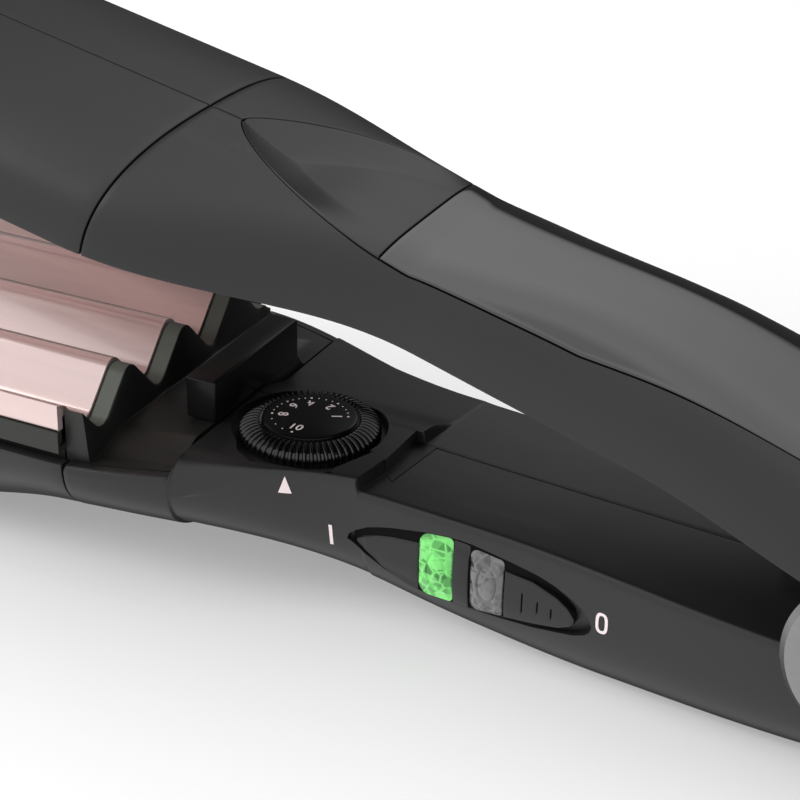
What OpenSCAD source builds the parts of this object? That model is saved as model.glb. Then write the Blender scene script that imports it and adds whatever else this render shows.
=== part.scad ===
// Hair crimper with deep wave plates: two clam-shell arms on one pivot pin.
// The lower arm carries the temperature dial, the sliding power switch and the cord gland.
// The upper arm is drawn closed and then swung open about the pivot.
// X runs from the head tip to the cord end, Y across the arms, Z up from the rest plane.

/* [Arms] */
// Angle between the closed and the open pose
open_angle = 12.5; // [6:0.5:16]
// Distance from the head seam to the pivot
handle_l = 119.9; // [110:0.1:135]
// Distance from the head seam to the head tip
head_l = 109.7; // [106:0.5:130]
// Width of both heads
head_w = 62.6; // [62.4:0.1:70]
// Width of the handles at the waist
waist_w = 35.2; // [34:0.2:40]
// Width of the handles at the belly
belly_w = 43; // [42:0.2:46]
// Wall of the shells
wall = 2; // [1.6:0.1:2.4]
// Gap left at each seam between two shells
seam_gap = 0.3; // [0.2:0.05:0.5]

/* [Lower arm] */
// Height of the head rim
lower_rim_z = 22.4; // [21.5:0.1:23]
// Height of the raised deck round the dial
deck_z = 24.4; // [24:0.1:25]
// Height of the deck behind the dial
rear_deck_z = 22.4; // [21.8:0.1:23]
// Fall of the deck for each millimetre towards the pivot
deck_fall = 0.055; // [0.03:0.005:0.07]
// Rise of the underside at the neck
neck_rise = 9.6; // [7:0.2:11]

/* [Upper arm] */
// Height of the head rim with the arms closed
upper_rim_z = 31.3; // [31:0.1:33]
// Height of the head top with the arms closed
upper_top_z = 44.3; // [43:0.1:47]
// Half width of the thumb rest and of the gloss cover
inlay_half_w = 15.4; // [13:0.1:16]
// Depth of the thumb rest
scoop_depth = 2.8; // [2:0.1:3.2]
// Length of the pan's sloping wall at the head end
pan_wall_l = 8; // [6:0.5:10]
// Crown of the inlay where the gloss cover starts
inlay_rise = 0.9; // [0.5:0.1:1.5]
// Narrowing of the gloss cover towards the pivot, on each side
cover_taper = 1.6; // [0:0.1:2.5]
// Thickness of the gloss cover and the thumb rest
cover_t = 1.6; // [1.2:0.1:2]
// Length of the thumb rest
scoop_l = 31.7; // [26:0.1:36]

/* [Wave plates] */
// Length of the plates
plate_l = 95; // [85:0.5:96]
// Width of the lower plate
plate_w = 60.6; // [58:0.2:61]
// Distance from crest to crest
wave_pitch = 15.63; // [13:0.01:18]
// Height of the waves
wave_h = 6.5; // [4:0.1:6.6]
// Height of the lower plate's troughs
plate_z = 26.5; // [26.3:0.1:27]
// Thickness of the plates
plate_t = 1.2; // [0.8:0.1:1.6]
// Gap between the plates when the arms are closed
plate_gap = 0.5; // [0.4:0.1:1]

/* [Pivot] */
// Height of the pivot pin
pivot_z = 20; // [19:0.1:21]
// Diameter of the pivot pin
pin_d = 6; // [4:0.1:7]
// Radial clearance of the pin in the upper arm
pin_clear = 0.05; // [0.02:0.01:0.1]
// Diameter of the silver discs over the pivot
disc_d = 25.6; // [24:0.2:27]
// Thickness of the silver discs
disc_t = 2.2; // [1.6:0.1:3]

/* [Temperature dial] */
// Diameter of the dial over its ribs
dial_d = 21.7; // [20:0.1:22]
// Number of ribs round the dial
dial_ribs = 60; // [36:1:72]
// Thickness of the dial
dial_t = 3; // [2.6:0.1:3.4]
// Diameter of the numbered disc in the dial
dial_disc_d = 14.5; // [12:0.1:16]
// Diameter of the dial's shaft
shaft_d = 5; // [4:0.1:6]

/* [Power switch] */
// Length of the sliding button
slider_l = 38; // [32:0.5:40]
// Height of the sliding button
slider_h = 10.6; // [9:0.2:11]
// Travel of the sliding button
slider_travel = 2.5; // [1.5:0.1:3]
// Running gap round the sliding button
slider_clear = 0.35; // [0.25:0.05:0.5]
// Width of each lens in the button
lens_w = 4.8; // [4:0.1:5]

/* [Cord gland] */
// Bore of the cord gland
gland_bore_d = 6.4; // [5:0.1:6.8]
// Length of the gland outside the shell
gland_l = 11.7; // [9:0.1:14]

/* [Hidden] */
$fn = 64;

// Places along the arms
pivot_x = 100;
seam_x = pivot_x - handle_l;
tip_x = seam_x - head_l;
rear_x = pivot_x + 18;
neck_x0 = seam_x - 3.7;
neck_x1 = seam_x + 46.3;
waist_x = pivot_x - 60;
belly_x = pivot_x - 8;
nose_l = 18;
step_x = pivot_x - 77;
ramp_end_x = seam_x + 15.1;
plate_x1 = seam_x - 0.8;
plate_x0 = plate_x1 - plate_l;
g = seam_gap / 2;
fit_gap = 0.15;

// Shape of the sections: 2 is an ellipse, more is squarer
lower_head_n = 2.36;
lower_handle_n = 4.6;
upper_head_n = 2.5;
upper_handle_n = 3.65;
// The undersides are drawn this much too low and cut flat at the rest plane
sole = 0.35;
side_steps = 12;

// Blends and round ends
function ease(x, a, b) = (1 - cos(180 * min(1, max(0, (x - a) / (b - a))))) / 2;
function mix(a, b, t) = a + (b - a) * t;
function corner(s, p) = pow(max(0, 1 - pow(min(1, max(0, s)), p)), 1 / p);
function nose(x, p) = corner((tip_x + nose_l - x) / (nose_l + 1), p);
function tail(x, p) = corner((x - pivot_x) / (rear_x - pivot_x + 2), p);

// Half width of both arms
function arm_w(x) = head_w / 2
    - (head_w - waist_w) / 2 * ease(x, neck_x0, neck_x1)
    + (belly_w - waist_w) / 2 * ease(x, waist_x, belly_x);
function half_w(x) = arm_w(x) * nose(x, 2.4) * tail(x, 2.6);

// Lower arm: deck, edge of the deck, underside and section shape
function rear_z(x) = rear_deck_z - deck_fall * (x - step_x);
function lower_deck(x) = x < seam_x ? lower_rim_z
    : x < ramp_end_x ? lower_rim_z - 0.2
    : x < step_x ? deck_z : rear_z(x);
function lower_edge(x, back) = back && x > ramp_end_x && x < step_x ? deck_z - 1.4 : lower_deck(x);
function lower_base(x) = neck_rise
    * (ease(x, tip_x + 66, seam_x + 7.3) - ease(x, seam_x + 8.3, pivot_x - 39)) - sole;
function lower_n(x) = mix(lower_head_n, lower_handle_n, ease(x, seam_x - 10, waist_x));
function lower_bottom(x) = let (top = lower_deck(x))
    top - (top - lower_base(x)) * nose(x, 2) * tail(x, 4);

// Upper arm, drawn closed: rim, top and section shape
function upper_rim(x) = upper_rim_z
    - 2.1 * ease(x, seam_x + 30, pivot_x - 45)
    - 5 * ease(x, pivot_x - 40, pivot_x + 8);
function upper_crown(x) = upper_top_z
    - 0.9 * ease(x, seam_x - 2, pivot_x - 43)
    - 5.5 * ease(x, pivot_x - 50, pivot_x);
function upper_n(x) = mix(upper_head_n, upper_handle_n, ease(x, seam_x - 5, seam_x + 55));
function upper_top(x) = upper_rim(x) + (upper_crown(x) - upper_rim(x)) * nose(x, 2) * tail(x, 2.3);
function upper_z(x, y) = upper_rim(x) + (upper_top(x) - upper_rim(x))
    * corner(abs(y) / half_w(x), upper_n(x));

// Inlay on the upper arm: the thumb rest opens into the gloss cover
scoop_x0 = seam_x + 5.5;
scoop_x1 = scoop_x0 + scoop_l;
function inlay_w(x) = x < scoop_x0 ? 0
    : x < scoop_x1 ? inlay_half_w * pow(sin(90 * (x - scoop_x0) / scoop_l), 0.7)
    : min(inlay_half_w - cover_taper * ease(x, 45, 95), half_w(x) - wall - 0.45);
// The inlay's own surface: level with its edges at the head end, and from there a crown
// that grows to the arm's full height behind the gloss cover's first part
function inlay_edge_z(x) = upper_z(x, max(0.1, inlay_w(x)));
function inlay_crown(x, y) = inlay_edge_z(x) + inlay_rise * ease(x, scoop_x0 + 9, scoop_x1)
    * (1 - pow(min(1, abs(y) / max(0.1, inlay_w(x))), 4));
function cover_z(x, y) = mix(inlay_crown(x, y), upper_z(x, y),
    ease(x, scoop_x1, scoop_x1 + 32));

// Pan of the thumb rest: a sloping wall inside the edge, then a floor that rises to the cover
function edge_slope(x) = (inlay_w(x + 0.4) - inlay_w(x)) / 0.4;
function edge_gap(x, y) = (inlay_w(x) - abs(y)) / sqrt(1 + pow(edge_slope(x), 2));
function pan_depth(x) = mix(scoop_depth, 0, ease(x, scoop_x0 + 9, scoop_x1));
function pan_wall(x) = mix(pan_wall_l, pan_wall_l / 3, (x - scoop_x0) / scoop_l);
function thumb_z(x, y) = inlay_crown(x, y)
    - pan_depth(x) * (1 - pow(max(0, 1 - edge_gap(x, y) / pan_wall(x)), 1.3));

// Wave of the plates, a crest on the centre line: straight flanks with rounded crests and
// troughs, and a soft drop at the two long edges of the lower plate
wave_round = 0.24;
edge_drop = 1.2;
edge_l = 2.4;
function flank(u) = u < wave_round ? u * u / (2 * wave_round) : u > 1 - wave_round
    ? 1 - wave_round - pow(1 - u, 2) / (2 * wave_round) : u - wave_round / 2;
function wave(y) = let (turns = abs(y) / wave_pitch, u = 2 * abs(turns - floor(turns) - 0.5))
    plate_z + wave_h * flank(u) / (1 - wave_round)
    - edge_drop * ease(abs(y), plate_w / 2 - edge_l, plate_w / 2);

// Solid through a list of [y, z] rings, one for each x, closed by flat ends; a ring that folds
// back on itself states how many points its way back has, and its ends are closed in strips
module loft(xs, rings, back = 0) {
    m = len(rings[0]);
    k = len(xs) - 1;
    r = rings[0];
    turn = [for (j = [0:m - 1]) r[j][0] * r[(j + 1) % m][1] - r[(j + 1) % m][0] * r[j][1]];
    ccw = turn * [for (j = turn) 1] > 0;
    sides = [for (i = [0:k - 1]) for (j = [0:m - 1]) let (
        a = i * m + j, b = i * m + (j + 1) % m, c = a + m, d = b + m
    ) each ccw ? [[a, c, d], [a, d, b]] : [[a, d, c], [a, b, d]]];
    out = m - back;
    cap = back == 0 ? [[for (j = [0:m - 1]) j]] : [for (j = [0:out - 2]) let (
        q = (back - 1) / (out - 1), a = m - 1 - round(j * q), b = m - 1 - round((j + 1) * q)
    ) a == b ? [j, j + 1, a] : [j, j + 1, b, a]];
    turned = [for (f = cap) [for (j = [len(f) - 1:-1:0]) f[j]]];
    first = ccw ? cap : turned;
    last = [for (f = ccw ? turned : cap) [for (j = f) k * m + j]];
    polyhedron(points = [for (i = [0:k]) for (p = rings[i]) [xs[i], p[0], p[1]]],
        faces = concat(sides, first, last));
}

// Quarter of a squared ellipse from the rim to the centre line, on the side of minus Y
function quarter(w, rim, far, n, steps, edge) = [
    for (j = [0:steps]) let (t = 90 * j / steps)
    [-max(edge, w * pow(cos(t), 2 / n)), rim + (far - rim) * pow(sin(t), 2 / n)]
];

// Half section of the lower handle, with a soft edge between deck and wall
deck_fillet = 1.2;
function lower_ring(x, back) = let (
    w = half_w(x), zc = lower_deck(x), ze = lower_edge(x, back), f = deck_fillet
) concat(
    [[-g, zc]], back ? [[-min(7, w * 0.4), zc + 0.05]] : [],
    [[-(w - f), ze], [-(w - 0.3 * f), ze - 0.3 * f]],
    [for (p = quarter(w, ze, lower_bottom(x), lower_n(x), side_steps, g))
        [p[0], max(0, min(p[1], ze - f))]]
);
function lower_hollow(x, inset) = let (
    w = half_w(x) - inset, open = x < ramp_end_x,
    top = open ? 40 : lower_deck(x) - wall, rim = open ? lower_deck(x) - wall : top - 1.2
) concat([[1, top], [open ? -w : 1.2 - w, top]],
    quarter(w, rim, lower_bottom(x) + sole + inset, lower_n(x), 8, -1));

// Stations where the sections are cut
lower_xs = concat([seam_x + g], [for (i = [1:6]) mix(seam_x, ramp_end_x - 0.1, i / 6)],
    [ramp_end_x + 0.5], [for (i = [1:7]) mix(ramp_end_x + 0.5, step_x, i / 7.2)],
    [for (i = [0:9]) mix(step_x + 0.2, pivot_x - 6, i / 9)],
    [for (i = [0:7]) mix(pivot_x, rear_x, sin(90 * i / 7))]);
lower_hollow_xs = concat([seam_x - 1, seam_x + 6, ramp_end_x - 0.1],
    [for (i = [0:5]) mix(ramp_end_x + 0.1, step_x - 0.6, i / 5)],
    [for (i = [0:6]) mix(step_x, pivot_x, i / 6)],
    [for (i = [1:4]) mix(pivot_x, rear_x - 3.1, i / 4)]);

// Dial, switch and gland places
dial_x = step_x - 15;
dial_y = -6.2;
dial_top = deck_z + 1.6;
dial_floor = dial_top - dial_t - 0.2;
slider_x = waist_x - 0.4;
slider_z = 13;
gland_z = 9.8;
spring_x = pivot_x - 15.5;

// Outline of the dial's recess, open towards the front wall
module recess_outline(grow) {
    translate([dial_x, dial_y]) circle(r = dial_d / 2 + 1 + grow);
    offset(delta = grow) polygon([[dial_x - 9.2, dial_y - 6.3], [dial_x - 0.4, dial_y - 17],
        [dial_x + 10.4, dial_y - 16.2], [dial_x + 9.4, dial_y - 10.2],
        [dial_x + 12.3, dial_y - 2.5]]);
}
// Part of the recess between the walls, a set distance inside them
module inside_walls(inset) {
    xs = [for (i = [0:14]) dial_x - 16 + 2.6 * i];
    polygon(concat([[dial_x + 20.4, 40], [dial_x - 16, 40]],
        [for (x = xs) [x, wall + inset - half_w(x)]]));
}
// Piece of the deck between the dial and the step, split from both shells
module tongue_outline(upper) {
    x1 = step_x - fit_gap;
    if (upper) polygon([[dial_x + 8, -8], [dial_x + 12, -2.5 + dial_y], [x1, dial_y - 4.2],
        [x1, -g], [dial_x + 8, -g]]);
    else polygon([[x1 - 1, dial_y - 3.4], [step_x + 2, dial_y - 6.2], [step_x + 3.3, -g],
        [x1 - 1, -g]]);
}
module tongue_cut() translate([0, 0, rear_deck_z - wall - 0.5]) linear_extrude(9) {
    offset(delta = seam_gap - 0.02) tongue_outline(true);
    offset(delta = seam_gap - 0.02) tongue_outline(false);
}
module dial_cut() {
    translate([0, 0, dial_floor]) linear_extrude(9) recess_outline(fit_gap + 0.03);
    translate([0, 0, dial_floor - wall - 1]) linear_extrude(wall + 1.1) intersection() {
        recess_outline(fit_gap);
        inside_walls(0.25);
    }
}

// Lens-shaped outline of the sliding button
module eye(grow) {
    h = slider_h / 2;
    r = (pow(slider_l / 2, 2) + h * h) / (2 * h);
    intersection() {
        translate([0, h - r]) circle(r = r + grow, $fn = 180);
        translate([0, r - h]) circle(r = r + grow, $fn = 180);
    }
}
module across_y(y0, y1) {
    translate([0, y1, 0]) rotate([90, 0, 0]) linear_extrude(y1 - y0) children();
}

// Screw bosses and their holes; the heads are on the back side
screw_r = 1.1;
boss_r = 2.6;
head_r = 2;
lower_bosses = [[seam_x + 8, 15.5], [pivot_x - 34, 8]];
head_bosses = [[seam_x - 16, 14], [tip_x + 24, 12]];
upper_bosses = [[seam_x + 20, 36.5], [pivot_x - 40, 35.6]];
upper_head_bosses = [[seam_x - 12, 40], [tip_x + 24, 40]];
// Half width of a section at a height between its rim and its far side
function side_y(w, rim, far, n, z) = w * pow(1 - pow(abs((z - rim) / (far - rim)), n), 1 / n);
function lower_reach(p) = side_y(half_w(p[0]), lower_deck(p[0]), lower_bottom(p[0]),
    lower_n(p[0]), p[1] - boss_r) - wall * 0.5;
function upper_reach(p) = side_y(half_w(p[0]), upper_rim(p[0]), upper_top(p[0]),
    upper_n(p[0]), p[1] + boss_r) - wall * 0.5;
module boss_front(p, reach) {
    translate([p[0], -g, p[1]]) rotate([90, 0, 0]) cylinder(h = reach - g, r = boss_r);
}
module pilot(p) {
    translate([p[0], 0, p[1]]) rotate([90, 0, 0]) cylinder(h = 9.2, r = screw_r + 0.1);
}
module screw_hole(p) {
    translate([p[0], 10, p[1]]) rotate([90, 0, 0]) cylinder(h = 19, r = screw_r + 0.1);
    translate([p[0], 40, p[1]]) rotate([90, 0, 0]) cylinder(h = 31, r = head_r + 0.1);
}
module screw(p) {
    translate([p[0], 9.2, p[1]]) rotate([90, 0, 0]) cylinder(h = 18.2, r = screw_r);
    translate([p[0], 10.6, p[1]]) rotate([90, 0, 0]) difference() {
        cylinder(h = 1.6, r = head_r);
        translate([-1.3, -0.3, -1]) cube([2.6, 0.6, 1.8]);
        translate([-0.3, -1.3, -1]) cube([0.6, 2.6, 1.8]);
    }
}

// Lower handle, front half on minus Y; the back half is made the same way and mirrored
ear_y = belly_w / 2 - 3.5;
module lower_half(back) {
    difference() {
        union() {
            difference() {
                loft(lower_xs, [for (x = lower_xs) lower_ring(x, back)]);
                loft(lower_hollow_xs, [for (x = lower_hollow_xs) lower_hollow(x, wall)]);
                translate([pivot_x - 8.5, -ear_y + 0.1, 0]) translate([0, 0, 12])
                    cube([22, ear_y, 20]);
                translate([pivot_x - 13.2, -ear_y + 0.1, 12]) cube([27, 4, 20]);
            }
            translate([pivot_x, -ear_y, pivot_z]) rotate([90, 0, 0])
                cylinder(h = belly_w / 2 + 0.2 - ear_y, r = disc_d / 2 - 0.4);
            for (p = lower_bosses) boss_front(p, lower_reach(p));
        }
        translate([pivot_x, 0, pivot_z]) rotate([90, 0, 0]) cylinder(h = 40, r = pin_d / 2 + 0.02);
        translate([rear_x - 5, 0, gland_z]) rotate([0, 90, 0])
            cylinder(h = 10, r = gland_neck_r + 0.05);
        translate([spring_x, 0, 10]) cylinder(h = 20, r = spring_r + 0.6);
    }
}
module lower_shell_front() color("#2b2b2d") {
    difference() {
        lower_half(false);
        dial_cut();
        tongue_cut();
        translate([0, 0, slider_z]) translate([slider_x, 0, 0]) {
            across_y(-40, slider_floor_y) eye(slider_clear);
            translate([slider_travel, 0, 0]) across_y(-40, slider_floor_y) eye(slider_clear);
            translate([-3.3, slider_floor_y - 1, -2.3]) cube([6.6 + slider_travel, 4, 4.6]);
        }
        for (p = lower_bosses) pilot(p);
    }
}
module lower_shell_back() color("#2b2b2d") difference() {
    mirror([0, 1, 0]) lower_half(true);
    dial_cut();
    for (p = lower_bosses) screw_hole(p);
}

// Lower head cover halves
head_xs = concat([for (i = [0:6]) mix(tip_x, tip_x + nose_l, 1 - cos(90 * i / 6))],
    [for (i = [1:8]) mix(tip_x + nose_l, seam_x - g, i / 8)]);
head_hollow_xs = [tip_x + 2.4, tip_x + 5, tip_x + 9, tip_x + nose_l, tip_x + 40, seam_x - 40,
    seam_x - 20, seam_x + 1];
module lower_head_half() {
    difference() {
        union() {
            difference() {
                loft(head_xs, [for (x = head_xs) concat([[-g, lower_rim_z]],
                    [for (p = quarter(half_w(x), lower_rim_z, lower_bottom(x), lower_n(x),
                        side_steps, g)) [p[0], max(0, p[1])]])]);
                loft(head_hollow_xs, [for (x = head_hollow_xs) concat([[1, 40], [wall - half_w(x), 40]],
                    quarter(half_w(x) - wall, lower_rim_z, lower_bottom(x) + sole + wall,
                        lower_n(x), 8, -1))]);
            }
            for (p = head_bosses) boss_front(p, lower_reach(p));
        }
        for (p = head_bosses) pilot(p);
    }
}
module lower_head_front() color("#2b2b2d") lower_head_half();
module lower_head_back() color("#2b2b2d") difference() {
    mirror([0, 1, 0]) lower_head_half();
    for (p = head_bosses) screw_hole(p);
}

// Heat-resistant frame: tray, wave-shaped ends and ramps down to the deck
frame_half_w = head_w / 2 - 0.5;
ledge_z = plate_z - 2.6;
block_drop = 0.5;
block_gap = 0.4;
function ramp_z(y, w, reach) = mix(wave(y) - block_drop,
    mix(deck_z + 0.1, lower_rim_z - 0.2, ease(abs(y), 17, w - 2)), reach);
module ramp(xs, hollow_xs, x_full, x_flat) {
    cells = 48;
    under = 12;
    loft(xs, [for (x = xs) let (
        w = lookup(x, [for (q = hollow_xs) [q, half_w(q)]]) - wall - block_gap,
        reach = ease(abs(x - x_full), 0, abs(x_flat - x_full))
    ) concat([for (j = [0:cells]) let (y = mix(-w, w, j / cells)) [y, ramp_z(y, w, reach)]],
        [for (j = [under:-1:0]) [mix(-w, w, j / under), lower_rim_z - 3]])], under + 1);
}
module rear_end_block() color("#1d1d1f") ramp([plate_x1 + 0.2, plate_x1 + 3, plate_x1 + 3.35,
    plate_x1 + 3.65, plate_x1 + 4, seam_x + 6, ramp_end_x - 0.15], lower_hollow_xs,
    plate_x1 + 3, plate_x1 + 4);
module tip_end_block() color("#1d1d1f") ramp([tip_x + 5, tip_x + 7, tip_x + 9, plate_x0 - 1.6,
    plate_x0 - 0.2], head_hollow_xs, plate_x0 - 1.6, tip_x + 5);
module lower_plate_frame() color("#1d1d1f") {
    w = frame_half_w;
    inner = plate_w / 2 + 0.1;
    neck = head_w / 2 - wall - 0.6;
    difference() {
        union() {
            translate([plate_x0 - 0.2, -w, ledge_z]) cube([plate_l + 0.4, 2 * w, 3.4]);
            translate([plate_x0 + 3, -neck, lower_rim_z - 3]) cube([plate_l - 3.2, 2 * neck,
                ledge_z - lower_rim_z + 3.4]);
        }
        translate([plate_x0 - 1, -inner, ledge_z + 1]) cube([plate_l + 2, 2 * inner, 5]);
        translate([plate_x0 + 4, 2 - neck, lower_rim_z - 4]) cube([plate_l - 8, 2 * neck - 4, 5.4]);
        translate([plate_x0 + 6, -22, lower_rim_z - 4]) cube([plate_l - 12, 44, 12]);
    }
}

// Waved sheet between two heights of the wave; its sides turn away from the hair
module wave_sheet(half, z_off, len, rise, edge_z) {
    cells = 72;
    ys = [for (j = [0:cells]) mix(-half, half, j / cells)];
    inner = [for (j = [0:cells]) mix(plate_t - half, half - plate_t, j / cells)];
    rotate([90, 0, 90]) linear_extrude(len) polygon(concat(
        [for (y = ys) [y, wave(y) + z_off]], [[half, edge_z], [half - plate_t, edge_z]],
        [for (j = [cells:-1:0]) [inner[j], wave(inner[j]) + z_off + rise]],
        [[plate_t - half, edge_z], [-half, edge_z]]));
}
module lower_plate() color("#e8c9c2") translate([plate_x0, 0, 0])
    wave_sheet(plate_w / 2, 0, plate_l, -plate_t * 1.25, ledge_z + 1.1);
module lower_heater() color("#c9c9c4") {
    translate([plate_x0 + 8, -20, ledge_z - 0.6]) cube([plate_l - 16, 40, 1.6]);
    for (k = [-1, 0, 1]) translate([plate_x0 + 10, k * wave_pitch - 2.5, ledge_z + 0.9])
        cube([plate_l - 20, 5, plate_z + wave_h - 4.7 - ledge_z]);
}
module lower_clamp() color("#a9acb0") {
    translate([plate_x0 + 12, -26, ledge_z - 6.4]) cube([plate_l - 24, 52, 1]);
    for (s = [-1, 1]) translate([plate_x0 + 16, s * 12 - 3, ledge_z - 5.5])
        cube([plate_l - 32, 6, 4.9]);
}
module guard_bar() color("#161617") translate([seam_x + 10.2, 0, 0]) difference() {
    translate([0, -12.75, deck_z + 0.1]) cube([5.2, 25.5, 6.85]);
    for (s = [-1, 1]) translate([-1, s * 12.75, deck_z + 6.95]) rotate([45, 0, 0])
        cube([8, 0.7, 0.7], center = false);
}

// Insert that closes the dial's recess, with the bearing of the dial's shaft
module dial_deck() color("#1a1a1b") difference() {
    union() {
        translate([0, 0, dial_floor - wall]) linear_extrude(wall) intersection() {
            recess_outline(0);
            inside_walls(0.4);
        }
        difference() {
            union() {
                translate([0, 0, rear_deck_z - wall]) linear_extrude(deck_z - rear_deck_z + wall)
                    tongue_outline(true);
                translate([0, 0, rear_deck_z - wall]) linear_extrude(wall) tongue_outline(false);
            }
            translate([dial_x, dial_y, dial_floor]) cylinder(h = 9, r = dial_d / 2 + 1);
        }
        translate([dial_x, dial_y, dial_floor - 5]) cylinder(h = 4, r = 4.4);
    }
    translate([dial_x, dial_y, 0]) cylinder(h = 60, r = shaft_d / 2 + 0.05);
}
module temperature_dial() color("#101011") translate([dial_x, dial_y, 0]) {
    difference() {
        union() {
            translate([0, 0, dial_top - dial_t]) rotate_extrude($fn = 120) polygon([
                [0, 0], [dial_d / 2 - 0.6, 0], [dial_d / 2 - 0.5, 0.6], [dial_d / 2 - 0.5, 1.6],
                [dial_d / 2 - 1.5, dial_t - 0.5], [dial_disc_d / 2 + 0.6, dial_t], [0, dial_t]]);
            for (i = [0:dial_ribs - 1]) rotate(360 * i / dial_ribs)
                translate([0, 0.27, dial_top - dial_t + 0.3]) rotate([90, 0, 0])
                linear_extrude(0.54) polygon([[dial_d / 2 - 3.2, 0.2], [dial_d / 2, 0.2],
                    [dial_d / 2, 1.4], [dial_d / 2 - 1.1, dial_t - 0.6],
                    [dial_d / 2 - 3.2, dial_t - 0.35]]);
        }
        translate([0, 0, dial_top - 0.9]) cylinder(h = 2, r = dial_disc_d / 2);
    }
    translate([0, 0, dial_floor - 6]) difference() {
        cylinder(h = 6.4, r = shaft_d / 2);
        translate([shaft_d / 2 - 0.8, -4, -1]) cube([4, 8, 2.6]);
    }
}
module dial_disc() color("#080808") translate([dial_x, dial_y, dial_top - 0.9])
    cylinder(h = 0.75, r = dial_disc_d / 2 - 0.05);

// Electronics inside the lower handle
board_z = 12.4;
module potentiometer() color("#3a5f8a") translate([dial_x, dial_y, board_z + 1.7]) difference() {
    cylinder(h = dial_floor - 5.2 - board_z - 1.7, r = 6);
    translate([0, 0, 1.2]) cylinder(h = 10, r = shaft_d / 2 + 0.05);
}
module control_board() color("#2f6b45") difference() {
    translate([seam_x + 14, -13, board_z]) cube([pivot_x - 44 - seam_x - 14, 26, 1.6]);
    translate([slider_x - 12, -14, board_z - 1]) cube([26, 3.6, 4]);
}
module slide_switch() color("#8d8f93") translate([slider_x, 0, board_z + 1.7]) difference() {
    translate([-6, -12.6, 0]) cube([12 + slider_travel, 7, 4.5]);
    translate([-2.6, -13, -1.7 + slider_z - board_z - 1.6]) cube([5.2 + slider_travel, 4, 3.2]);
}
module indicator_leds() color("#e9ece6") for (x = [slider_x - 4.6, slider_x + 4.2])
    translate([x, -13.2, slider_z + 0.4]) {
        rotate([90, 0, 0]) cylinder(h = 0.9, r = 1.2);
        translate([-1, -0.2, -2]) cube([2, 0.5, 2.9]);
    }

// Sliding power button with its two lenses
slider_floor_y = -(waist_w / 2 - 0.8);
slider_back_y = slider_floor_y - 0.25;
lens_x = [-6.9, 1.3];
module slider_wedge(out, grow) {
    intersection() {
        across_y(-24, slider_back_y) eye(grow);
        translate([-30, slider_back_y, 0]) rotate([-5, 0, 0]) translate([0, -2.6 - out, -12])
            cube([60, 8, 24]);
    }
}
module lens_slot(i, gap) {
    translate([lens_x[i] - gap, -24, -12]) cube([lens_w + 2 * gap, 24 + slider_back_y - 0.8 + gap, 24]);
}
module power_slider() color("#232325") translate([slider_x, 0, slider_z]) {
    difference() {
        slider_wedge(0, 0);
        for (i = [0, 1]) lens_slot(i, 0.08);
        for (i = [0:3]) translate([8.4 + 2 * i, -22, -2.2 + 0.2 * i]) cube([0.3, 2.65, 4.6 - 0.4 * i]);
    }
    translate([-1.8, slider_back_y - 0.2, -1.5]) cube([2, 5.4, 3]);
    translate([-2.4, slider_back_y + 1.9, -3.2]) cube([4.8, 0.8, 6.4]);
}
module lens(i) {
    translate([slider_x, 0, slider_z]) intersection() {
        slider_wedge(0.35, 0.1);
        lens_slot(i, 0);
    }
}
module green_lens() color("#35e23a") lens(0);
module clear_lens() color("#b9bdbf", 0.6) lens(1);

module lower_screws() color("#6d7074") for (p = concat(lower_bosses, head_bosses)) screw(p);

// Pivot
module pivot_pin() color("#a8abaf") translate([pivot_x, belly_w / 2 + 0.2, pivot_z])
    rotate([90, 0, 0]) cylinder(h = belly_w + 0.4, r = pin_d / 2);
module pivot_disc() {
    translate([pivot_x, -belly_w / 2 - 0.2, pivot_z]) rotate([90, 0, 0]) rotate_extrude($fn = 128)
        polygon([[0, 0], [disc_d / 2, 0], [disc_d / 2, disc_t - 0.9], [disc_d / 2 - 0.9, disc_t],
            [disc_d / 2 - 2.4, disc_t], [disc_d / 2 - 3, disc_t - 0.5], [0, disc_t - 0.3]]);
}
module pivot_disc_front() color("#b9bbbe") pivot_disc();
module pivot_disc_back() color("#b9bbbe") mirror([0, 1, 0]) pivot_disc();

// Compression spring that opens the arms, one unbroken coil
spring_r = 3.6;
spring_wire = 1;
spring_turns = 6;
spring_z0 = rear_z(spring_x) - wall - 2.7;
spring_z1 = swing_z(spring_x + 2.1, inner_z(spring_x + 2.1)) - 0.02;
function swing_z(x, z) = pivot_z + (z - pivot_z) * cos(open_angle) - (x - pivot_x) * sin(open_angle);
// Share of the spring's height reached at a share of its turns, with closed end turns
function lead(s) = s < 1 / 6 ? 0.11 * 6 * s : s > 5 / 6 ? 1 - 0.11 * 6 * (1 - s)
    : mix(0.11, 0.89, (s - 1 / 6) * 1.5);
module opening_spring() color("#9b9ea2") {
    rings = 14 * spring_turns;
    r = spring_wire / 2;
    z0 = spring_z0 + r + 0.02;
    rise = spring_z1 - spring_z0 - 2 * r - 0.04;
    pts = [for (i = [0:rings]) let (a = 360 * spring_turns * i / rings) for (j = [0:5])
        let (b = 60 * j, q = spring_r - r + r * cos(b))
        [q * cos(a), q * sin(a), z0 + rise * lead(i / rings) + r * sin(b)]];
    translate([spring_x, 0, 0]) polyhedron(points = pts, faces = concat(
        [for (i = [0:rings - 1]) for (j = [0:5]) let (
            a = i * 6 + j, b = i * 6 + (j + 1) % 6) each [[a, a + 6, b + 6], [a, b + 6, b]]],
        [[5, 4, 3, 2, 1, 0]], [[for (j = [0:5]) rings * 6 + j]]));
}

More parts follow.
